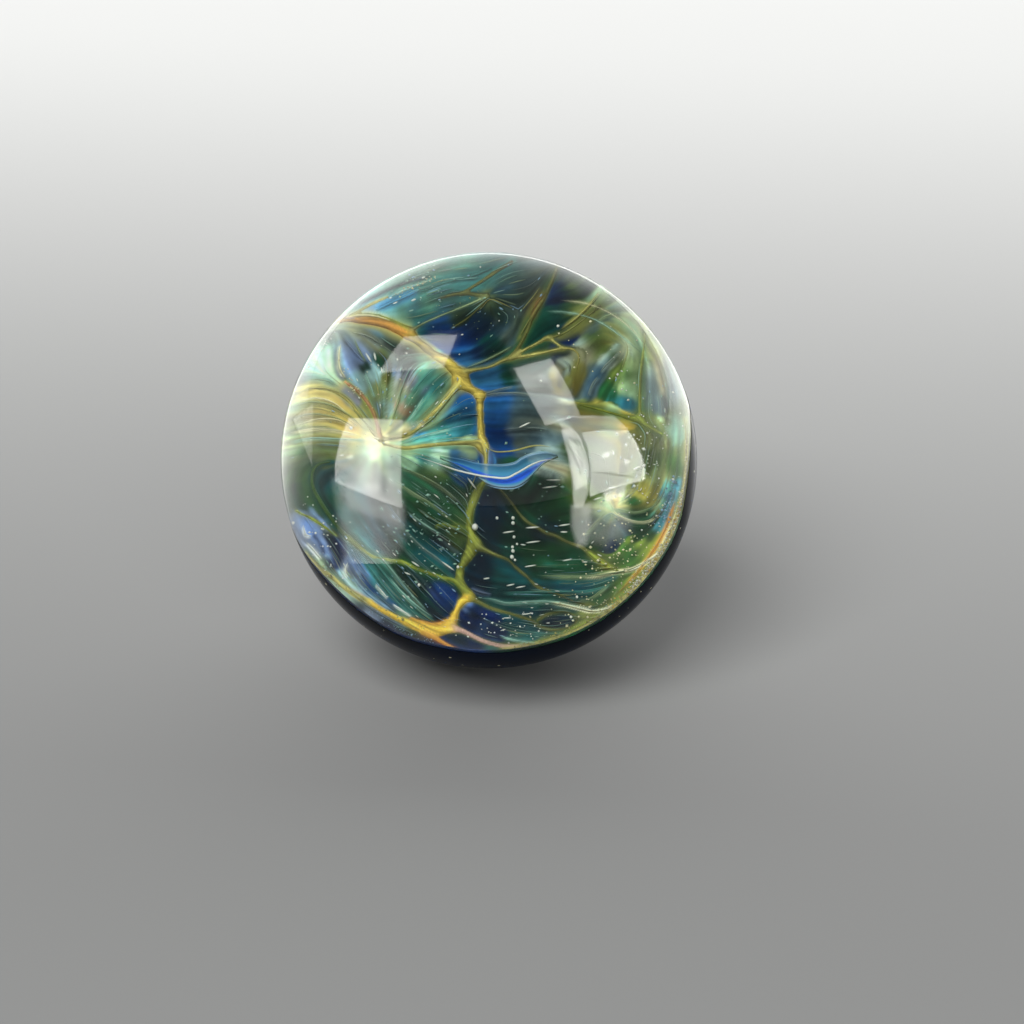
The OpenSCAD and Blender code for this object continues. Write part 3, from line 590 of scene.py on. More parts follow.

# Round bubbles in the glass, drawn pale as painted reflection: middle and radius in pixels.
BUBBLES = {
    "pearl": (475, 527, 3.2), "bead_a": (513, 518, 1.7), "bead_b": (513, 523, 1.8),
    "bead_c": (497, 518, 1.5), "bead_d": (514, 537, 1.5), "bead_e": (517, 544, 1.2),
    "bead_f": (512.5, 547, 1.5), "bead_g": (513, 551, 1.8), "bead_h": (512, 557, 2),
    "bead_i": (515, 560, 1.3), "fan": (351, 428, 1.8), "east_a": (617, 434, 1.4), "east_b": (634, 435, 1.3),
    "north_east": (558, 326, 1.5), "shin": (458, 567, 1.6), "low": (419, 585, 1.6),
    "east_c": (571, 617, 1.4), "east_d": (577, 597, 1.4), "rag": (293, 523, 1.6), "heart": (541, 381, 1.2),
}

# ---------------------------------------------------------------- the canvas
CANVAS_REACH = 292                                # pixels each way from the ball's middle
CANVAS_FINE = 1.6                                 # samples a pixel
side = int(2 * CANVAS_REACH * CANVAS_FINE) + 1
steps = np.arange(side) / CANVAS_FINE - CANVAS_REACH
GX, GY = np.meshgrid(BALL_PX[0] + steps, BALL_PX[1] + steps)
RNG = np.random.default_rng(7)
VEIN_REACH = 34                                   # pixels from a vein at which its field ends
VEIN_MELT = 1.6                                   # pixels over which veins that meet run together
DARKEST, LIGHTEST = 0.001, 0.95                   # limits of the painted colours


def spline(points, pieces=6):
    """A smooth line through points, with their half widths."""
    p = np.array(points, float)
    p = np.vstack([2 * p[0] - p[1], p, 2 * p[-1] - p[-2]])
    t = np.linspace(0, 1, pieces, endpoint=False)[:, None]
    out = []
    for a, b, c, d in zip(p, p[1:], p[2:], p[3:]):
        out.append(0.5 * (2 * b + (c - a) * t + (2 * a - 5 * b + 4 * c - d) * t ** 2
                          + (3 * b - a - 3 * c + d) * t ** 3))
    return np.vstack(out + [p[-2:-1]])


def patch(low, high):
    """The canvas rows and columns between two corners in pixels."""
    first = np.clip(((low - BALL_PX + CANVAS_REACH) * CANVAS_FINE).astype(int), 0, side - 2)
    last = np.clip(((high - BALL_PX + CANVAS_REACH) * CANVAS_FINE + 2).astype(int), first + 1, side)
    return slice(first[1], last[1]), slice(first[0], last[0])


def near(line, reach):
    """Round a line: its patch of canvas, the distance, and the half width, share along and way there."""
    whole = patch(line[:, :2].min(0) - reach, line[:, :2].max(0) + reach)
    x, y = GX[whole], GY[whole]
    away = np.full(x.shape, 1e3)
    width, along, way = np.zeros(x.shape), np.zeros(x.shape), np.zeros(x.shape)
    for k, (a, b) in enumerate(zip(line, line[1:])):
        run = b[:2] - a[:2]
        share = np.clip(((x - a[0]) * run[0] + (y - a[1]) * run[1]) / max(run @ run, 1e-9), 0, 1)
        gap = np.hypot(x - a[0] - share * run[0], y - a[1] - share * run[1])
        closer = gap < away
        away[closer] = gap[closer]
        width[closer] = (a[2] + share * (b[2] - a[2]))[closer]
        along[closer] = ((k + share) / (len(line) - 1))[closer]
        way[closer] = np.arctan2(run[1], run[0])
    return whole, away, width, along, way


def step_up(low, high, x):
    t = np.clip((x - low) / (high - low), 0, 1)
    return t * t * (3 - 2 * t)


def blur(field, reach):
    """A soft copy of a field, by three box means each way."""
    n = max(1, int(reach * CANVAS_FINE))
    for axis in (0, 1):
        for _ in range(3):
            padded = np.concatenate([np.take(field, [0] * (n + 1), axis), field,
                                     np.take(field, [-1] * n, axis)], axis)
            total = np.cumsum(padded, axis, dtype=float)
            ahead = np.take(total, range(2 * n + 1, total.shape[axis]), axis)
            behind = np.take(total, range(0, total.shape[axis] - 2 * n - 1), axis)
            field = (ahead - behind) / (2 * n + 1)
    return field


def far_out(x, y, reach):
    """Square of the canvas's distance from a middle, in its reach."""
    return ((GX - x) ** 2 + (GY - y) ** 2) / reach ** 2


def sample(field, x, y):
    """A canvas field at pixel coordinates, blended between samples."""
    fx = np.clip((x - BALL_PX[0] + CANVAS_REACH) * CANVAS_FINE, 0, side - 1.001)
    fy = np.clip((y - BALL_PX[1] + CANVAS_REACH) * CANVAS_FINE, 0, side - 1.001)
    i, j = fy.astype(int), fx.astype(int)
    v, u = fy - i, fx - j
    if field.ndim == 3:
        u, v = u[..., None], v[..., None]
    return ((field[i, j] * (1 - u) + field[i, j + 1] * u) * (1 - v)
            + (field[i + 1, j] * (1 - u) + field[i + 1, j + 1] * u) * v)


def wash_ground():
    """The washes run together, each by its weight and nearness."""
    total = np.zeros((side, side, 3))
    weight = np.full((side, side), 1e-6)
    for ink, x, y, reach, strength in WASHES.values():
        far = far_out(x, y, reach)
        w = strength * (np.exp(-far) + 1.5e-3 / (1 + far) ** 2)
        total += w[..., None] * INK[ink]
        weight += w
    return total / weight[..., None]


def flow_field():
    """The way the glass was drawn out: along the strokes, out from the funnels and round the ball."""
    turn = 2 * (np.arctan2(GY - BALL_PX[1], GX - BALL_PX[0]) + np.pi / 2)
    c, s = 0.01 * np.cos(turn), 0.01 * np.sin(turn)
    for x, y, reach in FUNNELS.values():
        turn = 2 * np.arctan2(GY - y, GX - x)
        w = 1.2 * np.exp(-far_out(x, y, reach))
        c, s = c + w * np.cos(turn), s + w * np.sin(turn)
    drawn = [([(x, y, 1) for x, y in line], 26, 0.8) for line in GUIDES.values()]
    drawn += [(veil[3], 12, 1.0) for veil in VEILS.values()]
    drawn += [(vein[3], 5, 1.0) for vein in VEINS.values()]
    for points, reach, strength in drawn:
        whole, away, _width, _along, way = near(spline(points, 4), 2.2 * reach)
        w = strength * np.exp(-(away / reach) ** 2)
        c[whole] += w * np.cos(2 * way)
        s[whole] += w * np.sin(2 * way)
    return np.arctan2(blur(s, 2), blur(c, 2)) / 2


def drawn_out(noise, flow, length):
    """Noise fields smeared along the flow, which gives the fine streaks of drawn glass."""
    total = noise.copy()
    cosine, sine = np.cos(flow).astype(np.float32), np.sin(flow).astype(np.float32)
    for turn in (1, -1):
        x, y = np.meshgrid(np.arange(side, dtype=np.float32), np.arange(side, dtype=np.float32))
        last_x, last_y = turn * cosine, turn * sine
        for _ in range(length):
            x = np.clip(x + last_x, 0, side - 1)
            y = np.clip(y + last_y, 0, side - 1)
            spot = y.astype(np.int32) * side + x.astype(np.int32)
            total += noise.reshape(-1, noise.shape[-1])[spot]
            way_x, way_y = cosine.ravel()[spot], sine.ravel()[spot]
            same = np.where(way_x * last_x + way_y * last_y < 0, np.float32(-1), np.float32(1))
            last_x, last_y = way_x * same, way_y * same
    return (total - total.mean((0, 1))) / total.std((0, 1))


def lay(canvas, cover, ink, part=(slice(None), slice(None))):
    """Lays a colour on part of the canvas."""
    canvas[part] += cover[..., None] * (ink - canvas[part])


def streaks(flow):
    """Fine, middle and broad streaks along the flow, each of unit spread."""
    noise = [blur(RNG.standard_normal((side, side)), reach) if reach else RNG.standard_normal((side, side))
             for reach in (0, 0.7, 1.6, 3.2, 3.2)]
    noise = np.stack([n / n.std() for n in noise], -1).astype(np.float32)
    return np.moveaxis(drawn_out(noise, flow, 56), -1, 0)


def pocket_depth(outline, pieces=4):
    """How deep each sample of a patch of canvas lies inside a closed outline, in pixels."""
    line = spline([(x, y, 0) for x, y in outline + outline[:3]], pieces)[pieces:-pieces]
    whole, away, _width, _along, _way = near(line, 12)
    x, y = GX[whole], GY[whole]
    inside = np.zeros(x.shape, bool)
    for a, b in zip(line, line[1:]):
        if a[1] != b[1]:
            crossing = ((a[1] > y) != (b[1] > y)) & (x < a[0] + (y - a[1]) * (b[0] - a[0]) / (b[1] - a[1]))
            inside ^= crossing
    return whole, np.where(inside, away, -away)


def paint_bowl():
    """Paints the bowl's colours, and its height above or below the plain bowl in ball radii."""
    flow = flow_field()
    fine, thin, middle, broad, tint = streaks(flow)
    shift = 3.0 * middle + 4.0 * broad
    ground = wash_ground()
    ground = sample(ground, GX - shift * np.sin(flow), GY + shift * np.cos(flow))
    silk = sum(strength * np.exp(-far_out(x, y, reach)) for x, y, reach, strength in SILK.values())
    silk = np.clip(silk, 0.12, 1)
    ground = ground * np.exp(0.14 * thin + (0.20 + 0.22 * silk) * middle + 0.24 * broad)[..., None]
    ground = ground * np.exp(0.14 * tint[..., None] * np.array([1.0, 0.15, -0.8]))
    thread = np.clip(thin - 1.0, 0, 2) / 2
    pale = np.minimum(ground * 1.5 + 0.10, 0.8)
    ground = ground + (0.7 * silk * thread)[..., None] * (pale - ground)
    canvas = ground.copy()
    share = np.full((side, side), 1e-9)
    core, haze = np.zeros((side, side, 3)), np.zeros((side, side, 3))
    reach = np.zeros((side, side))
    for ink, beside, wide, points in VEINS.values():
        whole, away, width, _along, _way = near(spline(points), VEIN_REACH)
        w = np.exp(-np.clip(away - width + 0.35 * middle[whole], -20, VEIN_REACH) / VEIN_MELT)
        share[whole] += w
        core[whole] += w[..., None] * INK[ink]
        haze[whole] += w[..., None] * INK[beside]
        reach[whole] += w * wide
    core, haze, reach = core / share[..., None], haze / share[..., None], reach / share
    edge = np.minimum(-VEIN_MELT * np.log(share), VEIN_REACH)
    broken = np.exp(0.30 * broad)
    cover = 0.75 * np.exp(-np.maximum(edge, 0) / np.maximum(reach * broken, 0.5)) * step_up(33, 20, edge)
    lay(canvas, cover, haze)
    for soft, outline in POCKETS.values():
        whole, depth = pocket_depth(outline)
        depth = depth + 0.5 * middle[whole]
        cover = step_up(-soft, soft, depth)
        # Inside each cell the ground comes back with painted shade, a quarter darker towards the middle where
        # the cell sinks deepest.
        lay(canvas, cover, ground[whole] * (1 - 0.25 * step_up(0, 9, depth))[..., None], whole)
    for ink, solid, soft, points in VEILS.values():
        whole, away, width, along, _way = near(spline(points), 14)
        ends = step_up(0, 0.15, along) * step_up(1, 0.85, along)
        cover = solid * ends * step_up(width * (1 + soft) + 0.7, width * (1 - soft) * 0.5, away)
        lay(canvas, np.clip(cover * (1 + 0.3 * thin[whole]), 0, 1), INK[ink], whole)
    body = step_up(1.0, -1.2, edge)
    glow = step_up(0.5, -4.0, edge)
    core = core * np.exp(0.24 * thin + 0.16 * fine)[..., None]
    core = core * (0.82 + 0.36 * glow)[..., None]
    lay(canvas, 0.85 * body, core)
    height = -0.20 * MM * step_up(0, 14, edge)
    canvas = 1.62 * np.maximum(canvas, 0) ** 1.15      # deeper darks and clearer lights
    canvas, core = np.clip(canvas, DARKEST, LIGHTEST), np.clip(core, DARKEST, LIGHTEST)
    return canvas, blur(height, 0.8), edge, flow, core


# ---------------------------------------------------------------- meshes
def disk(n):
    """A square grid laid over a disk: each point's share of the radius and its direction."""
    t = np.linspace(-1, 1, n + 1)
    x, y = np.meshgrid(t, t, indexing="ij")
    wide = np.abs(x) > np.abs(y)
    r = np.where(wide, x, y)
    turn = np.pi / 4 * np.where(wide, y, x) / np.where(r == 0, 1, r)
    angle = np.where(wide, turn, np.pi / 2 - turn)
    return np.abs(r), np.where(r < 0, angle + np.pi, angle)


def grid_cells(corner, wide):
    """Four-sided faces from their first corners, in a grid that is wide points across."""
    return np.stack([corner, corner + wide, corner + wide + 1, corner + 1], -1)


def open_edges(quads, count):
    """The edges of a sheet that only one of its faces has."""
    ends = np.stack([quads, np.roll(quads, -1, 1)], -1).reshape(-1, 2)
    return ends[~np.isin(ends[:, 0] * count + ends[:, 1], ends[:, 1] * count + ends[:, 0])]


def thick_sheet(quads, walls, count):
    """Faces of a closed sheet whose underside lies count points on, with walls at its open edges."""
    wall = np.stack([walls[:, 1], walls[:, 0], walls[:, 0] + count, walls[:, 1] + count], -1)
    return np.concatenate([quads, quads[:, ::-1] + count, wall]).tolist()


def grid_faces(n, start=0, flip=False):
    """Faces of an n by n grid of cells, and its border as a closed run of points."""
    i, j = np.meshgrid(np.arange(n), np.arange(n), indexing="ij")
    quads = grid_cells(start + i * (n + 1) + j, n + 1).reshape(-1, 4)
    k = np.arange(n)
    border = np.concatenate([k * (n + 1), n * (n + 1) + k, (n - k) * (n + 1) + n, n - k]) + start
    return quads[:, ::-1] if flip else quads, border


def set_down(name, data):
    """Puts a mesh, a lamp or a camera in the scene."""
    item = bpy.data.objects.new(name, data)
    bpy.context.scene.collection.objects.link(item)
    return item


def point_colours(mesh, name, rgb):
    """Gives each point of a mesh its colour."""
    layer = mesh.attributes.new(name, "FLOAT_COLOR", "POINT")
    rgba = np.ones((len(rgb), 4), np.float32)
    rgba[:, :3] = rgb
    layer.data.foreach_set("color", rgba.ravel())


def make(name, points, faces, node, material, colours=None, sharp=None):
    """A mesh piece from points in ball radii. It rides on the marble and stands for a CAD node."""
    mesh = bpy.data.meshes.new(name)
    mesh.from_pydata((points * BALL).tolist(), [], [list(map(int, f)) for f in faces])
    mesh.polygons.foreach_set("use_smooth", np.ones(len(mesh.polygons), bool))
    if colours is not None:
        point_colours(mesh, "glass_colour", colours)
    if sharp is not None:
        on_border = np.zeros(len(points), bool)
        on_border[sharp] = True
        ends = np.zeros(len(mesh.edges) * 2, int)
        mesh.edges.foreach_get("vertices", ends)
        layer = mesh.attributes.new("sharp_edge", "BOOLEAN", "EDGE")
        layer.data.foreach_set("value", on_border[ends.reshape(-1, 2)].all(1))
    mesh.materials.append(material)
    piece = set_down(name, mesh)
    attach(piece, "root")
    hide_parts(node)


# Where the dark back begins on the outside: direction round the ball's middle in the frame, in
# degrees clockwise from the right, and how far out it shows.
DARK_EDGE_PX = {
    "east": (-8, 204), "east_low": (5, 199.3), "band": (14, 200.4), "band_low": (22, 201.2),
    "quarter": (30, 199.3), "quarter_low": (38, 198.3), "south_east": (46, 197.2), "lower": (55, 196),
    "sole_east": (65, 194.4), "sole": (75, 193.2), "south": (85, 192.6), "heel": (95, 192.6),
    "heel_west": (105, 193.5), "ankle": (115, 196.5), "calf": (125, 198), "west": (135, 199.5),
    "west_end": (146, 203),
}


def dark_edge(direction):
    """Angle from the axis at which the dark back begins, by direction round the axis."""
    angle, out = np.radians([v[0] for v in DARK_EDGE_PX.values()]), [v[1] for v in DARK_EDGE_PX.values()]
    px = BALL_PX + np.stack([np.cos(angle), np.sin(angle)], -1) * np.array(out)[:, None]
    x, y, z = local(on_ball(px)).T
    known, lean = np.arctan2(y, x), np.arccos(z)
    order = np.argsort(known)
    known, lean = known[order], lean[order]
    hidden = np.linspace(known[-1] + 0.5, known[0] + 2 * np.pi - 0.5, 9)
    wave = np.radians(90.5 + 1.1 * np.sin(5 * hidden + 1) + 0.7 * np.sin(11 * hidden))
    turn = np.concatenate([known, hidden])
    value = np.concatenate([lean, wave])
    turn = np.concatenate([turn - 2 * np.pi, turn, turn + 2 * np.pi])
    value = np.tile(value, 3)
    order = np.argsort(turn)
    spread = np.linspace(-0.09, 0.09, 9)              # rounds off the corners
    return sum(np.interp(direction + s, turn[order], value[order]) for s in spread) / len(spread)


def on_sphere(lean, direction, radius=1.0):
    return from_local(radius * np.sin(lean) * np.cos(direction),
                      radius * np.sin(lean) * np.sin(direction), radius * np.cos(lean))


def bowl_height(x, y, drop=0.0):
    return BOWL_Z - np.sqrt(np.maximum(BOWL_R ** 2 - x ** 2 - y ** 2, 0)) - drop


def preset(node, constants):
    """Sets a node's constants by the names of their sockets."""
    for socket, value in constants.items():
        node.inputs[socket].default_value = value
    return node


def colour_ramp(nodes, low, high):
    """A ramp between two ends, each a position and a colour."""
    ramp = nodes.new("ShaderNodeValToRGB")
    for end, (position, ink) in zip(ramp.color_ramp.elements, (low, high)):
        end.position = position
        end.color = (*ink, 1)
    return ramp


def noise_node(nodes, links, scale, detail, vector):
    node = preset(nodes.new("ShaderNodeTexNoise"), {"Scale": scale, "Detail": detail})
    links.new(vector, node.inputs["Vector"])
    return node


def new_material(name):
    material = bpy.data.materials.new(name)
    material.use_nodes = True
    nodes, links = material.node_tree.nodes, material.node_tree.links
    return material, nodes, links, nodes["Principled BSDF"]


def clear_material():
    """Polished clear glass. Lamps reach what is set in it."""
    material, nodes, links, shader = new_material("clear_glass")
    preset(shader, {"Base Color": (0.985, 1.0, 0.992, 1), "Roughness": 0.0, "IOR": GLASS_IOR,
                    "Transmission Weight": 1.0})
    path = nodes.new("ShaderNodeLightPath")
    open_way = preset(nodes.new("ShaderNodeBsdfTransparent"), {"Color": (0.95, 0.98, 0.96, 1)})
    mix = nodes.new("ShaderNodeMixShader")
    links.new(path.outputs["Is Shadow Ray"], mix.inputs["Fac"])
    links.new(shader.outputs["BSDF"], mix.inputs[1])
    links.new(open_way.outputs["BSDF"], mix.inputs[2])
    links.new(mix.outputs["Shader"], nodes["Material Output"].inputs["Surface"])
    return material


def coloured_material(name, roughness, specular, grain):
    """Coloured glass with its colours on the mesh, and a fine uneven grain."""
    material, nodes, links, shader = new_material(name)
    source = nodes.new("ShaderNodeAttribute")
    source.attribute_name = "glass_colour"
    place = nodes.new("ShaderNodeTexCoord")
    noise = noise_node(nodes, links, 2600, 4, place.outputs["Object"])
    spread = preset(nodes.new("ShaderNodeMapRange"),
                    {"From Min": 0.3, "From Max": 0.7, "To Min": 1 - grain, "To Max": 1 + grain})
    links.new(noise.outputs["Fac"], spread.inputs["Value"])
    scale = nodes.new("ShaderNodeVectorMath")
    scale.operation = "SCALE"
    links.new(source.outputs["Color"], scale.inputs[0])
    links.new(spread.outputs["Result"], scale.inputs["Scale"])
    links.new(scale.outputs["Vector"], shader.inputs["Base Color"])
    preset(shader, {"Roughness": roughness, "Specular IOR Level": specular})
    return material


def dark_material():
    """Near-black blue glass with a fine scatter of metal dust."""
    material, nodes, links, shader = new_material("dark_glass")
    place = nodes.new("ShaderNodeTexCoord")
    cloud = noise_node(nodes, links, 90, 5, place.outputs["Object"])
    ramp = colour_ramp(nodes, (0.35, INK["black"]), (0.75, INK["navy"] * 0.5))
    links.new(cloud.outputs["Fac"], ramp.inputs["Fac"])
    cells = preset(nodes.new("ShaderNodeTexVoronoi"), {"Scale": 1100})
    links.new(place.outputs["Object"], cells.inputs["Vector"])
    pick = nodes.new("ShaderNodeSeparateColor")
    links.new(cells.outputs["Color"], pick.inputs["Color"])
    # A grain in two cells of five, of uneven size
    size = preset(nodes.new("ShaderNodeMapRange"), {"From Min": 0.6, "To Max": 0.17})
    links.new(pick.outputs["Red"], size.inputs["Value"])
    grain = nodes.new("ShaderNodeMath")
    grain.operation = "LESS_THAN"
    links.new(cells.outputs["Distance"], grain.inputs[0])
    links.new(size.outputs["Result"], grain.inputs[1])
    mix = nodes.new("ShaderNodeMix")
    mix.data_type = "RGBA"
    mix.inputs["B"].default_value = (*INK["cream"], 1)
    links.new(grain.outputs["Value"], mix.inputs["Factor"])
    links.new(ramp.outputs["Color"], mix.inputs["A"])
    links.new(mix.outputs["Result"], shader.inputs["Base Color"])
    preset(shader, {"Roughness": 0.16, "Specular IOR Level": 0.01})
    return material


CLEAR = clear_material()
COLOURED = coloured_material("colour_glass", 0.5, 0.2, 0.04)
THREAD = coloured_material("amber_glass", 0.4, 0.3, 0.05)
RIBBON = coloured_material("blue_glass", 0.4, 0.3, 0.03)
DARK = dark_material()


def two_sided(name, n, skin, inner, material, flip):
    """A closed piece from an outer and an inner disk that share their border."""
    outside, border = grid_faces(n, flip=flip)
    inside, inner_border = grid_faces(n, (n + 1) ** 2, flip=not flip)
    shared = dict(zip(inner_border.tolist(), border.tolist()))
    inside = np.vectorize(lambda v: shared.get(v, v))(inside)
    points = np.concatenate([skin.reshape(-1, 3), inner.reshape(-1, 3)])
    make(name, points, np.concatenate([outside, inside]), name, material, sharp=border)


def clear_face():
    """The clear glass: a polished cap on the outside, closed by a face just behind the bowl's colours."""
    n = 216
    share, turn = disk(n)
    edge = dark_edge(turn) - BAND
    skin = on_sphere(share * edge, turn)
    rim = on_sphere(edge, turn)
    x, y, z = np.moveaxis(local(rim), -1, 0)
    inner_x, inner_y = share * x, share * y
    drop = BEHIND + 0.02 * (1 - share ** 2)
    rise = z - bowl_height(x, y, BEHIND)
    near_rim = step_up(np.where(rise > 0, 0.955, 0.88), 1, share)  # behind the colours up to the rim
    inner_z = bowl_height(inner_x, inner_y, drop) + rise * near_rim
    inner = from_local(inner_x, inner_y, inner_z)
    two_sided("clear_face", n, skin, inner, CLEAR, flip=False)


def dark_back():
    """The dark glass: the back of the ball, hollowed for the coloured layer."""
    n = 150
    share, turn = disk(n)
    edge = dark_edge(turn)
    skin = on_sphere(np.pi - share * (np.pi - edge), turn)
    x, y, z = np.moveaxis(local(on_sphere(edge, turn)), -1, 0)
    inner_z = bowl_height(share * x, share * y, LAYER * (1 - share ** 2))
    inner_z += (z - bowl_height(x, y)) * share ** 6
    inner = from_local(share * x, share * y, inner_z)
    two_sided("dark_back", n, skin, inner, DARK, flip=True)


def seen_reach(turn):
    """How far out from the ball's middle the bowl shows in a direction in the frame, in pixels."""
    low, high = np.full(turn.shape, 100.0), np.full(turn.shape, BALL_PX_R - 1.0)
    way = np.stack([np.cos(turn), np.sin(turn)], -1)
    for _ in range(24):
        middle = (low + high) / 2
        x, y, _z = np.moveaxis(local(on_bowl(BALL_PX + way * middle[..., None])), -1, 0)
        inside = np.hypot(x, y) < 0.975
        low, high = np.where(inside, middle, low), np.where(inside, high, middle)
    return low


def colour_layer(canvas, height):
    """The coloured layer, with the painted bowl in front. Its grid is even in the photograph's frame."""
    n = 300
    shown = 0.88                                  # share of the grid that lies in view
    beyond = 75                                   # pixels that the canvas goes on past the view
    share, turn = disk(n)
    reach = seen_reach(turn)
    out = np.minimum(share / shown, 1) * reach
    past = np.clip((share - shown) / (1 - shown), 0, 1)
    way = np.stack([np.cos(turn), np.sin(turn)], -1)
    x, y, _z = np.moveaxis(local(on_bowl(BALL_PX + way * out[..., None])), -1, 0)
    last = np.hypot(x, y)
    direction = np.arctan2(y, x)
    edge = dark_edge(direction) - BAND
    rim_x, rim_y, rim_z = np.moveaxis(local(on_sphere(edge - np.radians(0.8), direction, 0.996)), -1, 0)
    x, y = x + past * (rim_x - x), y + past * (rim_y - y)
    spot_x = BALL_PX[0] + way[..., 0] * (out + beyond * past)
    spot_y = BALL_PX[1] + way[..., 1] * (out + beyond * past)
    fade = np.clip((1 - past) * 3, 0, 1)
    z = bowl_height(x, y) + sample(height, spot_x, spot_y) * fade
    near_rim = step_up(0.93, 1, np.hypot(x, y) / np.hypot(rim_x, rim_y)) * (past > 0)
    z = z + (rim_z - bowl_height(rim_x, rim_y)) * near_rim
    front = from_local(x, y, z)
    colours = sample(canvas, spot_x, spot_y)
    faces, border = grid_faces(n, flip=True)
    points, shades, quads = [front.reshape(-1, 3)], [colours.reshape(-1, 3)], [faces]
    loop = border
    direction = direction.reshape(-1)[border]
    count = (n + 1) ** 2
    band = [(-0.2, 0.9985), (0.3, 0.9985), (1.0, 0.9985), (1.3, 0.985)]
    rings = [on_sphere(dark_edge(direction) - BAND * (1 - along), direction, radius)
             for along, radius in band]
    rx, ry, rz = np.moveaxis(local(rings[-1]), -1, 0)
    for inward in (0.8, 0.5, 0.2):
        bx, by = rx * inward, ry * inward
        bz = bowl_height(bx, by, LAYER * (1 - inward ** 2)) + (rz - bowl_height(rx, ry)) * inward ** 6
        rings.append(from_local(bx, by, bz - SUNK))
    for ring in rings:
        points.append(ring)
        shades.append(shades[0][border])
        after = np.arange(count, count + len(border))
        quads.append(np.stack([loop, np.roll(loop, -1), np.roll(after, -1), after], -1))
        loop, count = after, count + len(border)
    points.append(from_local(np.zeros(1), np.zeros(1), np.array([-BOWL_DEPTH - LAYER - SUNK])))
    shades.append(shades[0][:1])
    faces = [tuple(f) for q in quads for f in q]
    faces += [(int(a), int(b), count) for a, b in zip(loop, np.roll(loop, -1))]
    make("colour_layer", np.concatenate(points), faces, "colour_layer", COLOURED,
         colours=np.concatenate(shades))


def tube(line, radius, sides=6):
    """Rings round a line, with closed ends, as points and faces."""
    way = np.gradient(line, axis=0)
    way /= np.linalg.norm(way, axis=1, keepdims=True) + 1e-12
    side_way = np.cross(way, AXIS)
    side_way /= np.linalg.norm(side_way, axis=1, keepdims=True) + 1e-12
    up_way = np.cross(side_way, way)
    turn = np.linspace(0, 2 * np.pi, sides, endpoint=False)
    ring = (np.cos(turn)[None, :, None] * side_way[:, None] + np.sin(turn)[None, :, None] * up_way[:, None])
    points = (line[:, None] + ring * radius[:, None, None]).reshape(-1, 3)
    k, s = np.meshgrid(np.arange(len(line) - 1), np.arange(sides), indexing="ij")
    a = k * sides + s
    b = k * sides + (s + 1) % sides
    faces = np.stack([a, b, b + sides, a + sides], -1).reshape(-1, 4).tolist()
    faces += [list(range(sides))[::-1], [len(points) - sides + i for i in range(sides)]]
    return points, faces


def join(parts):
    """Several (points, faces, colours) as one."""
    points, faces, colours, start = [], [], [], 0
    for p, f, c in parts:
        points.append(p)
        colours.append(np.broadcast_to(c, (len(p), 3)))
        faces += [[v + start for v in face] for face in f]
        start += len(p)
    return np.concatenate(points), faces, np.concatenate(colours)


PX = 0.064 * MM                                   # what a pixel spans on the bowl, near enough


def in_view(points, out=2.0):
    """Which points in pixels lie where the bowl can be seen."""
    off = points[..., :2] - BALL_PX
    return np.hypot(*np.moveaxis(off, -1, 0)) < seen_reach(np.arctan2(off[..., 1], off[..., 0])) - out


def web_sheet(edge, core, height):
    """The broad veins as one closed sheet, domed on top, with its outline on their painted edge."""
    pace = 1.2
    span = np.arange(-BALL_PX_R, BALL_PX_R, pace)
    x, y = np.meshgrid(BALL_PX[0] + span, BALL_PX[1] + span)
    field = sample(edge, x, y)
    slope_y, slope_x = np.gradient(field, pace)
    inside = (field < 0.5 * pace) & in_view(np.stack([x, y], -1))
    cell = inside[:-1, :-1] & inside[1:, :-1] & inside[:-1, 1:] & inside[1:, 1:]
    wide = len(span)
    i, j = np.nonzero(cell)
    quads = grid_cells(i * wide + j, wide)
    walls = open_edges(quads, wide ** 2)
    used, compact = np.unique(quads, return_inverse=True)
    quads = compact.reshape(quads.shape)
    walls = np.searchsorted(used, walls)
    depth = -field.ravel()[used]
    slope = np.stack([slope_x.ravel()[used], slope_y.ravel()[used]], -1)
    spot = np.stack([x.ravel()[used], y.ravel()[used]], -1)
    border = np.unique(walls)
    move = depth[border, None] * slope[border] / np.maximum(dot(slope[border], slope[border]), 0.2)
    spot[border] += np.clip(move, -0.8 * pace, 0.8 * pace)
    off = spot[border] - BALL_PX
    out, most = np.hypot(*off.T), seen_reach(np.arctan2(off[:, 1], off[:, 0])) - 2
    cut = out > most - 1.5 * pace
    spot[border[cut]] = BALL_PX + off[cut] * (most / out)[cut, None]
    depth[border] = 0
    dome = 0.02 * MM + 0.11 * MM * np.sqrt(np.clip(depth, 0, 9))
    base = on_bowl(spot) + AXIS * sample(height, spot[:, 0], spot[:, 1])[:, None]
    points = np.concatenate([base + AXIS * dome[:, None], base - AXIS * 0.12 * MM])
    count = len(used)
    faces = thick_sheet(quads, walls, count)
    shade = sample(core, spot[:, 0], spot[:, 1])
    return points, faces, np.concatenate([shade, shade])


def amber_web(edge, core, height):
    """The web: its broad veins as a sheet, and a round thread along every vein."""
    parts = [web_sheet(edge, core, height)]
    for _ink, _beside, _wide, points in VEINS.values():
        line = spline(points)
        line = line[in_view(line)]
        place = on_bowl(line) + AXIS * (sample(height, line[:, 0], line[:, 1])[:, None] + 0.03 * MM)
        p, f = tube(place, np.clip(line[:, 2] * 0.8, 0.4, 1.1) * PX, 6)
        parts.append((p, f, np.repeat(sample(core, line[:, 0], line[:, 1]), 6, 0)))
    points, faces, colours = join(parts)
    make("amber_web", points, faces, "amber_web", THREAD, colours=colours)


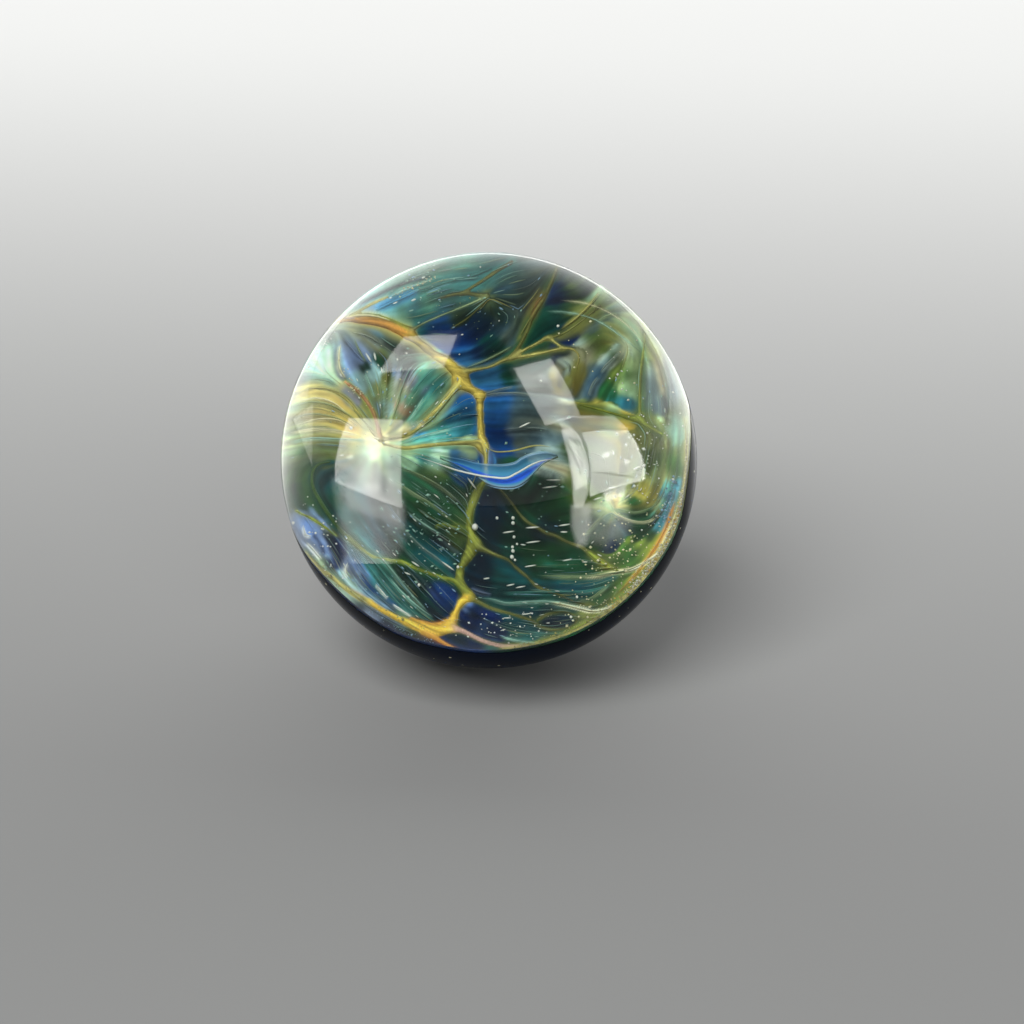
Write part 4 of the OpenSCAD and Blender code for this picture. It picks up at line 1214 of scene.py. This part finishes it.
def faded_thread(canvas, line, width, ink, solid, lift):
    """A thin thread that starts and ends in the colour of the glass behind it."""
    share = np.linspace(0, 1, len(line))
    fade = np.sin(np.pi * share) ** 0.5
    place = on_bowl(line, lift)
    ground = sample(canvas, line[:, 0], line[:, 1])
    shade = ground + (solid * fade)[:, None] * (ink - ground)
    p, f = tube(place, (0.25 + fade) * width * PX, 4)
    return p, f, np.repeat(shade, 4, 0)


def followed(flow, start, length, pace=2.0):
    """Lines drawn out from start points along the flow, in pixels."""
    spot = start.copy()
    last = None
    lines = [spot]
    for _ in range(length):
        turn = sample(np.stack([np.cos(2 * flow), np.sin(2 * flow)], -1), spot[:, 0], spot[:, 1])
        turn = np.arctan2(turn[:, 1], turn[:, 0]) / 2
        way = np.stack([np.cos(turn), np.sin(turn)], -1)
        if last is not None:
            way *= np.where(dot(way, last) < 0, -1, 1)
        last = way
        spot = spot + pace * way
        lines.append(spot)
    return np.stack(lines, 1)


def silk_threads(canvas, flow):
    """Fine threads in the coloured glass: the named veils, the dashes, and silk along the flow."""
    parts = []
    for ink, solid, _soft, points in VEILS.values():
        line = spline(points, 5)
        line = line[in_view(line)]
        if len(line) > 3 and INK[ink].mean() > 0.15:
            width = np.minimum(0.5 * line[:, 2], 0.8)
            parts.append(faded_thread(canvas, line, width, INK[ink], min(1, 1.3 * solid), 0.1 * MM))
    for x, y, x_end, y_end in DASHES.values():
        share = np.linspace(0, 1, 7)[:, None]
        line = np.array([x, y]) * (1 - share) + np.array([x_end, y_end]) * share
        parts.append(faded_thread(canvas, line, 0.75, INK["white"], 0.8, 0.35 * MM))
    for x, y, reach, strength in SILK.values():
        start = RNG.normal((x, y), 0.6 * reach, (int(0.034 * strength * reach ** 2) + 4, 2))
        for line in followed(flow, start, 22):
            line = line[:RNG.integers(8, 23)]
            line = line[in_view(line)]
            if len(line) < 6:
                continue
            ink = INK[RNG.choice(["aqua", "sage", "sky", "straw", "fog", "aqua"])]
            parts.append(faded_thread(canvas, line, RNG.uniform(0.22, 0.5), ink, RNG.uniform(0.15, 0.6),
                                      RNG.uniform(0.05, 0.3) * MM))
    for x, y, reach, strength in SILK.values():
        start = RNG.normal((x, y), 0.7 * reach, (int(1.4 * strength * reach), 2))
        for line in followed(flow, start, 5, 1.2):
            line = line[:RNG.integers(3, 7)]
            if in_view(line).all():
                ink = INK[RNG.choice(["white", "aqua", "sky"])]
                parts.append(faded_thread(canvas, line, RNG.uniform(0.3, 0.6), ink, 0.85,
                                          RNG.uniform(0.1, 0.4) * MM))
    points, faces, colours = join(parts)
    make("silk_threads", points, faces, "colour_layer", THREAD,
         colours=np.clip(colours, DARKEST, LIGHTEST))


def at_pixel(spot, lift):
    """A place in the glass that shows at a pixel, and what one pixel across, down and inward spans there."""
    place, right, down = on_bowl(np.array([spot, spot + [1, 0], spot + [0, 1]]), lift)
    return place, np.stack([right - place, down - place, -PX * AXIS])


def speck(spot, size, stretch, ink):
    """One small eight-sided grain at a pixel, as points, faces and colour."""
    grain = np.array([[1, 0, 0], [-1, 0, 0], [0, 1, 0], [0, -1, 0], [0, 0, 1], [0, 0, -1]], float)
    sides = [[0, 4, 2], [2, 4, 1], [1, 4, 3], [3, 4, 0], [2, 5, 0], [1, 5, 2], [3, 5, 1], [0, 5, 3]]
    place, span = at_pixel(spot, RNG.uniform(0.2, 0.5) * MM)
    radius = size * RNG.lognormal(-0.15, 0.4)
    body = grain * np.array([radius * RNG.uniform(1, stretch), radius, radius])
    tilt = RNG.normal(0, 0.35)
    turn = np.array([[np.cos(tilt), -np.sin(tilt), 0], [np.sin(tilt), np.cos(tilt), 0], [0, 0, 1]])
    return place + body @ turn @ span, sides, ink * RNG.uniform(0.55, 1.15)


def bubble(spot, radius):
    """A round bubble at a pixel: a solid pale ball whose white is painted reflection, standing in for the
    silver shine of an air bubble.
    """
    turn, lean = np.meshgrid(np.arange(10) * 2 * np.pi / 10, np.arange(1, 6) * np.pi / 6)
    ring = np.stack([np.sin(lean) * np.cos(turn), np.sin(lean) * np.sin(turn), -np.cos(lean)], -1)
    body = np.concatenate([ring.reshape(-1, 3), [[0, 0, -1]], [[0, 0, 1]]]) * radius
    k = np.arange(10)
    faces = [[10 * i + a, 10 * i + (a + 1) % 10, 10 * i + 10 + (a + 1) % 10, 10 * i + 10 + a]
             for i in range(4) for a in k]
    faces += [[50, (a + 1) % 10, a] for a in k] + [[51, 40 + a, 40 + (a + 1) % 10] for a in k]
    place, span = at_pixel(np.array(spot, float), 0.5 * MM)
    return place + body @ span, faces, INK["white"] * 0.8


def specks():
    """Tiny bright specks, metal dust and seed bubbles in the glass, the bubbles pale with painted reflection.
    """
    parts = []
    for ink, x, y, across, down, count, size, stretch in SPECKS.values():
        spots = RNG.normal((x, y), (across * 0.7, down * 0.7), (count, 2))
        parts += [speck(spot, size, stretch, INK[ink]) for spot in spots[in_view(spots, 3.0)]]
    for ink, count, size, points in DUST.values():
        line = spline(points)
        line = line[RNG.integers(0, len(line), count)]
        spots = line[:, :2] + RNG.normal(0, 0.6, (count, 2)) * line[:, 2:]
        spots += RNG.uniform(-3, 3, (count, 1)) * np.gradient(spline(points)[:, :2], axis=0).mean(0) / 4
        parts += [speck(spot, size, 1.5, INK[ink]) for spot in spots[in_view(spots, 1.0)]]
    parts += [bubble((x, y), radius) for x, y, radius in BUBBLES.values()]
    points, faces, colours = join(parts)
    make("specks", points, faces, "colour_layer", THREAD,
         colours=np.minimum(colours, LIGHTEST))


# The ribbon's two edges, and its colours from the upper edge to the lower one with their cover.
RIBBON_UPPER = [(440, 457, 0), (462, 461, 0), (480, 465, 0), (500, 466, 0), (514, 464, 0), (522, 459, 0),
                (532, 455, 0), (545, 453, 0), (558, 456, 0)]
RIBBON_LOWER = [(440, 459, 0), (460, 468, 0), (476, 477, 0), (490, 486, 0), (505, 489, 0), (519, 487, 0),
                (530, 479, 0), (543, 466, 0), (558, 457.5, 0)]
RIBBON_SHADES = [("sky", 0.5), ("azure", 0.8), ("azure", 0.75), ("azure", 0.85), ("azure", 0.95),
                 ("bright", 0.9), ("bright", 1.0), ("bright", 1.0), ("azure", 0.9), ("sky", 0.7)]


def blue_ribbon(canvas):
    """The ribbon: a thin closed sheet between its two edges, hung in the clear glass."""
    upper, lower = spline(RIBBON_UPPER, 8), spline(RIBBON_LOWER, 8)
    rows, shades = [], []
    for k, (ink, cover) in enumerate(RIBBON_SHADES):
        share = k / (len(RIBBON_SHADES) - 1)
        line = upper + share * (lower - upper)
        rise = 0.35 * MM * (2 * share - 1) ** 2
        rows.append(on_bowl(line, 2.3 * MM) + AXIS * rise)
        ground = sample(canvas, line[:, 0], line[:, 1])
        fade = cover * np.sin(np.pi * np.linspace(0, 1, len(line))) ** 0.7
        shades.append(ground + fade[:, None] * (INK[ink] - ground))
    top, shade = np.stack(rows, 1), np.stack(shades, 1).reshape(-1, 3)
    low = top - AXIS * 0.2 * MM
    m, w = top.shape[:2]
    points = np.concatenate([top.reshape(-1, 3), low.reshape(-1, 3)])
    i, j = np.meshgrid(np.arange(m - 1), np.arange(w - 1), indexing="ij")
    quads = grid_cells((i * w + j).ravel(), w)
    faces = thick_sheet(quads, open_edges(quads, m * w), m * w)
    make("blue_ribbon", points, faces, "blue_ribbon", RIBBON,
         colours=np.concatenate([shade, shade]))


# Long thin threads that float with the ribbon: colour and points with the half width there.
FLOATING = {
    "pale": ("white", [(412, 455, 0.4), (436, 463, 0.8), (456, 470, 1.0), (477, 475, 1.1), (490, 477, 1.0),
        (506, 478, 1.2), (517, 473, 1.1), (533, 464, 1.0), (546, 460, 0.7), (562, 461, 0.3)]),
    "east": ("straw", [(486, 447, 0.8), (495, 451.5, 0.9), (507, 451.5, 0.8), (517, 450, 0.9),
        (530, 446.5, 1.0), (540, 445.5, 0.9), (551, 447, 0.8)]),
    "upper": ("sky", [(484, 465, 0.3), (500, 466, 0.6), (514, 464, 0.8), (522, 459, 0.8), (532, 455, 0.8),
        (546, 453, 0.6), (560, 456, 0.3)]),
    "lower": ("sky", [(484, 484, 0.3), (495, 487.5, 0.6), (508, 489, 0.7), (520, 486.5, 0.7),
        (530, 479, 0.5)]),
}


def floating_threads(canvas):
    """Threads that lie in the clear glass beside the ribbon."""
    parts = []
    for ink, points in FLOATING.values():
        line = spline(points)
        parts.append(faded_thread(canvas, line, 0.9 * line[:, 2], INK[ink], 0.95, 2.75 * MM))
    points, faces, colours = join(parts)
    make("floating_threads", points, faces, "blue_ribbon", RIBBON, colours=colours)


canvas, height, edge, flow, core = paint_bowl()
clear_face()
dark_back()
colour_layer(canvas, height)
amber_web(edge, core, height)
silk_threads(canvas, flow)
specks()
blue_ribbon(canvas)
floating_threads(canvas)

# ---------------------------------------------------------------- floor, light and camera
def floor_material():
    """Pale floor with painted light: darker in front of the marble and lighter towards the back, as
    falling-off light would make it.
    """
    material, nodes, links, shader = new_material("floor_painted_light")
    place = nodes.new("ShaderNodeTexCoord")
    split = nodes.new("ShaderNodeSeparateXYZ")
    links.new(place.outputs["Object"], split.inputs[0])
    depth = preset(nodes.new("ShaderNodeMapRange"), {"From Min": -0.06, "From Max": 0.26})
    links.new(split.outputs["Y"], depth.inputs["Value"])
    ramp = colour_ramp(nodes, (0.0, (0.24, 0.24, 0.235)), (1.0, (0.64, 0.64, 0.625)))
    ramp.color_ramp.interpolation = "EASE"
    links.new(depth.outputs["Result"], ramp.inputs["Fac"])
    links.new(ramp.outputs["Color"], shader.inputs["Base Color"])
    preset(shader, {"Roughness": 1.0, "Specular IOR Level": 0.0})
    return material


def floor():
    """A wide plain floor under the marble."""
    mesh = bpy.data.meshes.new("floor")
    reach = 6.0
    low = cad_box[0].z
    mesh.from_pydata([(-reach, -reach, low), (reach, -reach, low), (reach, reach, low), (-reach, reach, low)],
                     [], [(0, 1, 2, 3)])
    mesh.materials.append(floor_material())
    piece = set_down("floor", mesh)


def lamp(name, place, target, size, watts):
    """A soft lamp that lights the marble and the floor, and isn't mirrored."""
    data = bpy.data.lights.new(name, "AREA")
    data.shape = "RECTANGLE"
    data.size, data.size_y = size
    data.energy = watts
    data.cycles.use_multiple_importance_sampling = False  # else half a lamp's light stops at the glass
    item = set_down(name, data)
    item.location = place
    item.rotation_euler = (Vector(target) - Vector(place)).to_track_quat("-Z", "Y").to_euler()
    item.visible_glossy = False
    item.visible_transmission = False


# Soft window light that the ball mirrors in the photograph: how bright, how soft at the edge in pixels,
# and the outline. Where panes overlap, their light adds up.
PANES = {
    "west": (1.6, 1.0, [(293, 419), (313, 404), (312, 466), (302, 440)]),
    "a": (5.5, 0.8, [(404, 337), (428, 335), (457, 335), (451, 351), (443, 368), (412, 370), (379, 373),
        (391, 354)]),
    "a_east": (1.6, 8, [(432, 335), (457, 335), (443, 368), (418, 370)]),
    "b": (6.2, 0.8, [(514, 368.5), (532, 363), (551, 359), (563, 378), (573, 398), (580, 415), (562, 421),
        (545.5, 425.5), (530, 398)]),
    "b_top": (2.6, 7, [(514, 369), (551, 359), (560, 378), (525, 390)]),
    "b_band": (1.8, 2.5, [(533, 396), (571, 390), (574, 400), (538, 408)]),
    "c": (7.4, 0.9, [(349, 418), (376, 419), (403, 420), (401, 445), (401, 476), (402, 508), (380, 500),
        (356, 490), (335, 482), (335, 465), (340, 439)]),
    "c_column": (2.6, 5, [(362, 420), (380, 420), (380, 498), (358, 490)]),
    "c_low_light": (3.0, 8, [(350, 468), (400, 470), (400, 505), (352, 488)]),
    "c_east": (2.6, 1.5, [(403, 421), (425, 421), (424, 427), (402, 431)]),
    "c_foot": (2.2, 6, [(333, 478), (403, 502), (405, 540), (392, 566), (366, 574), (345, 556)]),
    "c_foot_west": (1.2, 8, [(336, 484), (366, 494), (392, 560), (366, 572), (346, 545)]),
    "d_top": (5.2, 0.9, [(557, 419), (574, 417), (600, 416), (614, 416), (628, 429), (582, 431), (586, 458),
        (580, 440), (566, 436)]),
    "d_band": (8.5, 1.2, [(561, 430), (571, 428), (580, 436), (586, 452), (589, 470), (589, 490),
        (583, 507), (574, 508), (572, 480), (568, 456)]),
    "d": (11, 0.8, [(582, 432), (604, 430), (628, 430), (636, 443), (641, 456), (645, 470), (645, 480),
        (632, 483.5), (612, 488), (590, 497), (589, 484), (588, 468), (586, 450)]),
    "d_middle": (4, 8, [(588, 438), (614, 438), (618, 470), (592, 474)]),
    "d_light": (10, 2.6, [(603, 491), (612, 487), (626, 484), (624, 496), (606, 501)]),
    "d_edge": (2.4, 4, [(584, 506), (604, 495), (638, 484), (628, 500), (604, 510), (582, 514)]),
    "d_foot": (6.2, 4, [(572, 506), (590, 504), (590, 524), (586, 544), (578, 546), (572, 526)]),
    "d_haze": (3.0, 9, [(586, 508), (622, 500), (626, 526), (606, 544), (588, 540)]),
    "c_foot_east": (1.0, 5, [(384, 506), (402, 511), (401, 532), (388, 530)]),
    "d_band_light": (9.5, 3.0, [(568, 440), (580, 446), (587, 466), (587, 484), (576, 490), (573, 470)]),
    "c_low_edge": (3.6, 6, [(340, 484), (402, 508), (402, 526), (350, 508)]),
}

# Lines in that light, dark ones below zero: how bright, and points with the half width.
GLEAMS = {
    "d_crease": (-8, [(566, 438, 0.4), (572, 452, 0.9), (578, 466, 0.6), (582, 480, 0.4)]),
    "d_crease_b": (-5, [(575, 440, 0.3), (580, 456, 0.7), (583, 474, 0.4)]),
    "d_line": (-6, [(590, 472, 0.3), (612, 474, 0.6), (638, 478, 0.4)]),
    "d_rim": (4, [(628, 431, 0.5), (637, 446, 0.8), (643, 462, 0.8), (645, 476, 0.5)]),
    "d_spark": (12, [(601, 456, 0.6), (606, 455, 1.8), (611, 452, 0.8)]),
    "d_spark_b": (8, [(624, 464, 0.6), (627, 462, 1.4), (630, 461, 0.6)]),
    "d_top_line": (5, [(560, 418, 0.4), (580, 416.6, 0.7), (600, 416, 0.4)]),
    "c_spot": (6, [(346, 458, 0.8), (350, 457, 1.8), (354, 456, 0.8)]),
    "c_spot_b": (5, [(366, 457, 2), (373, 456, 3.5), (380, 455, 2)]),
    "c_spot_c": (4, [(362, 486, 2), (371, 487, 4), (380, 488, 2)]),
    "c_shade": (-3, [(381, 424, 1), (383, 450, 2), (384, 480, 2), (385, 500, 1)]),
    "c_edge": (3, [(335, 483, 0.4), (356, 490.5, 0.7), (380, 500, 0.7), (402, 508, 0.4)]),
    "b_streak": (2.4, [(536, 372, 0.6), (546, 380, 1.6), (556, 392, 0.6)]),
    "a_shade": (-1.6, [(398, 352, 1), (412, 346, 3), (426, 340, 1)]),
    "d_fold": (-9, [(585, 440, 0.3), (588, 456, 0.4), (590, 474, 0.4), (588, 494, 0.3)]),
}

# Light along the ball's rim: direction in degrees clockwise from the right, then the light of the
# thin outer line, of the soft haze inside it and of the wide haze beyond that.
RIM_LIGHT = {
    "south_west": (160, 0, 0, 0), "west_low": (172, 0.1, 0.4, 0.2), "west": (184, 0.25, 0.8, 0.5),
    "west_top": (200, 0.5, 0.8, 0.4), "north_west": (216, 0.7, 0.7, 0.4),
    "north_west_top": (238, 0.8, 0.5, 0.5), "north_top": (252, 0.6, 0.3, 0.6),
    "north": (272, 0.5, 0.15, 0.25), "north_east": (300, 0.7, 0.3, 0.05), "east_top": (325, 0.7, 0.5, 0.15),
    "east": (342, 0.5, 0.6, 0.9), "east_mid": (352, 0.4, 0.7, 0.8), "east_low": (360, 0.2, 0.4, 0.5),
    "east_end": (376, 0, 0, 0),
}


def painted_light():
    """The mirrored light on the canvas."""
    light = np.zeros((side, side))
    for bright, soft, outline in PANES.values():
        whole, depth = pocket_depth(outline, 1)
        light[whole] += bright * step_up(-soft, soft, depth)
    for bright, points in GLEAMS.values():
        whole, away, width, along, _way = near(spline(points), 14)
        ends = step_up(0, 0.2, along) * step_up(1, 0.8, along)
        light[whole] += bright * ends * step_up(width * 1.8 + 0.8, width * 0.2, away)
    return np.maximum(light, 0)


def light_material():
    """Light that adds to what is behind it."""
    material = bpy.data.materials.new("mirrored_light")
    material.use_nodes = True
    material.cycles.emission_sampling = "NONE"
    nodes, links = material.node_tree.nodes, material.node_tree.links
    nodes.remove(nodes["Principled BSDF"])
    source = nodes.new("ShaderNodeAttribute")
    source.attribute_name = "light"
    glow = nodes.new("ShaderNodeEmission")
    links.new(source.outputs["Color"], glow.inputs["Color"])
    add = nodes.new("ShaderNodeAddShader")
    links.new(glow.outputs["Emission"], add.inputs[0])
    links.new(nodes.new("ShaderNodeBsdfTransparent").outputs["BSDF"], add.inputs[1])
    links.new(add.outputs["Shader"], nodes["Material Output"].inputs["Surface"])
    return material


def light_sheet(name, spots, light, material):
    """A sheet of light seen only in reflections: at each pixel of a grid, where the ball mirrors it."""
    skin, way = on_ball(spots), rays(spots)
    way = way - 2 * dot(way, skin) * skin
    to_floor = (skin[..., 2:] + 0.98) / np.maximum(-way[..., 2:], 1e-6)
    points = (skin + way * np.minimum(1.2 / BALL, to_floor)) * BALL
    wide = light.shape[1]
    lit = light > 0.01
    lit = lit[:-1, :-1] | lit[1:, :-1] | lit[:-1, 1:] | lit[1:, 1:]
    i, j = np.nonzero(lit)
    a = i * wide + j
    used, faces = np.unique(np.stack([a, a + 1, a + wide + 1, a + wide], -1), return_inverse=True)
    mesh = bpy.data.meshes.new(name)
    mesh.from_pydata(points.reshape(-1, 3)[used].tolist(), [], faces.reshape(-1, 4).tolist())
    point_colours(mesh, "light", light.ravel()[used, None] * np.array([1.0, 1.0, 0.95]))
    mesh.materials.append(material)
    piece = set_down(name, mesh)
    piece.visible_camera = piece.visible_diffuse = piece.visible_transmission = piece.visible_shadow = False


def mirrored_light():
    """The window light and the light along the rim."""
    material = light_material()
    x, y = np.meshgrid(np.arange(288, 652, 0.8), np.arange(330, 564, 0.8))
    light = sample(painted_light(), x, y)
    light_sheet("window_light", np.stack([x, y], -1), light, material)
    steps_out = np.append(np.arange(140, 204, 1.6), np.arange(204, 207.4, 0.3))
    turn, out = np.meshgrid(np.arange(160, 377, 0.8), steps_out)
    known = np.array(list(RIM_LIGHT.values()), float)
    line, haze, wide = (np.interp(turn, known[:, 0], known[:, k]) for k in (1, 2, 3))
    light = line * step_up(205.6, 206.8, out) + haze * step_up(184, 204, out) + wide * step_up(140, 182, out)
    x, y = BALL_PX[0] + out * np.cos(np.radians(turn)), BALL_PX[1] + out * np.sin(np.radians(turn))
    light_sheet("rim_light", np.stack([x, y], -1), light, material)


def world():
    """Even light from all round, paler near the level."""
    w = bpy.data.worlds.new("studio")
    bpy.context.scene.world = w
    w.use_nodes = True
    nodes, links = w.node_tree.nodes, w.node_tree.links
    place = nodes.new("ShaderNodeTexCoord")
    split = nodes.new("ShaderNodeSeparateXYZ")
    links.new(place.outputs["Generated"], split.inputs[0])
    ramp = colour_ramp(nodes, (0.0, (0.62, 0.63, 0.62)), (0.45, (0.10, 0.11, 0.12)))
    links.new(split.outputs["Z"], ramp.inputs["Fac"])
    links.new(ramp.outputs["Color"], nodes["Background"].inputs["Color"])
    nodes["Background"].inputs["Strength"].default_value = 1.0


def camera():
    """The photograph's view."""
    data = bpy.data.cameras.new("camera")
    data.sensor_width = 36
    data.lens = FOCAL_PX / FRAME_PX * data.sensor_width
    data.clip_start = 0.01
    item = set_down("camera", data)
    eye = EYE * BALL
    item.matrix_world = Matrix([[RIGHT[i], UP[i], -FORWARD[i], eye[i]] for i in range(3)] + [[0, 0, 0, 1]])
    bpy.context.scene.camera = item


floor()
world()
camera()
lamp("key", (-0.5, -1.0, 1.45), (0, 0, 0), (1.2, 1.2), 35)
lamp("fill", (0.9, -1.4, 0.7), (0, 0, 0), (1.0, 1.0), 8)
lamp("backdrop", (0.0, 0.85, 0.5), (0.0, 0.7, 0), (2.0, 0.4), 12)
mirrored_light()
scene = bpy.context.scene
scene.view_settings.view_transform = "Standard"
scene.cycles.use_denoising = True
scene.cycles.caustics_refractive = False
scene.cycles.caustics_reflective = False
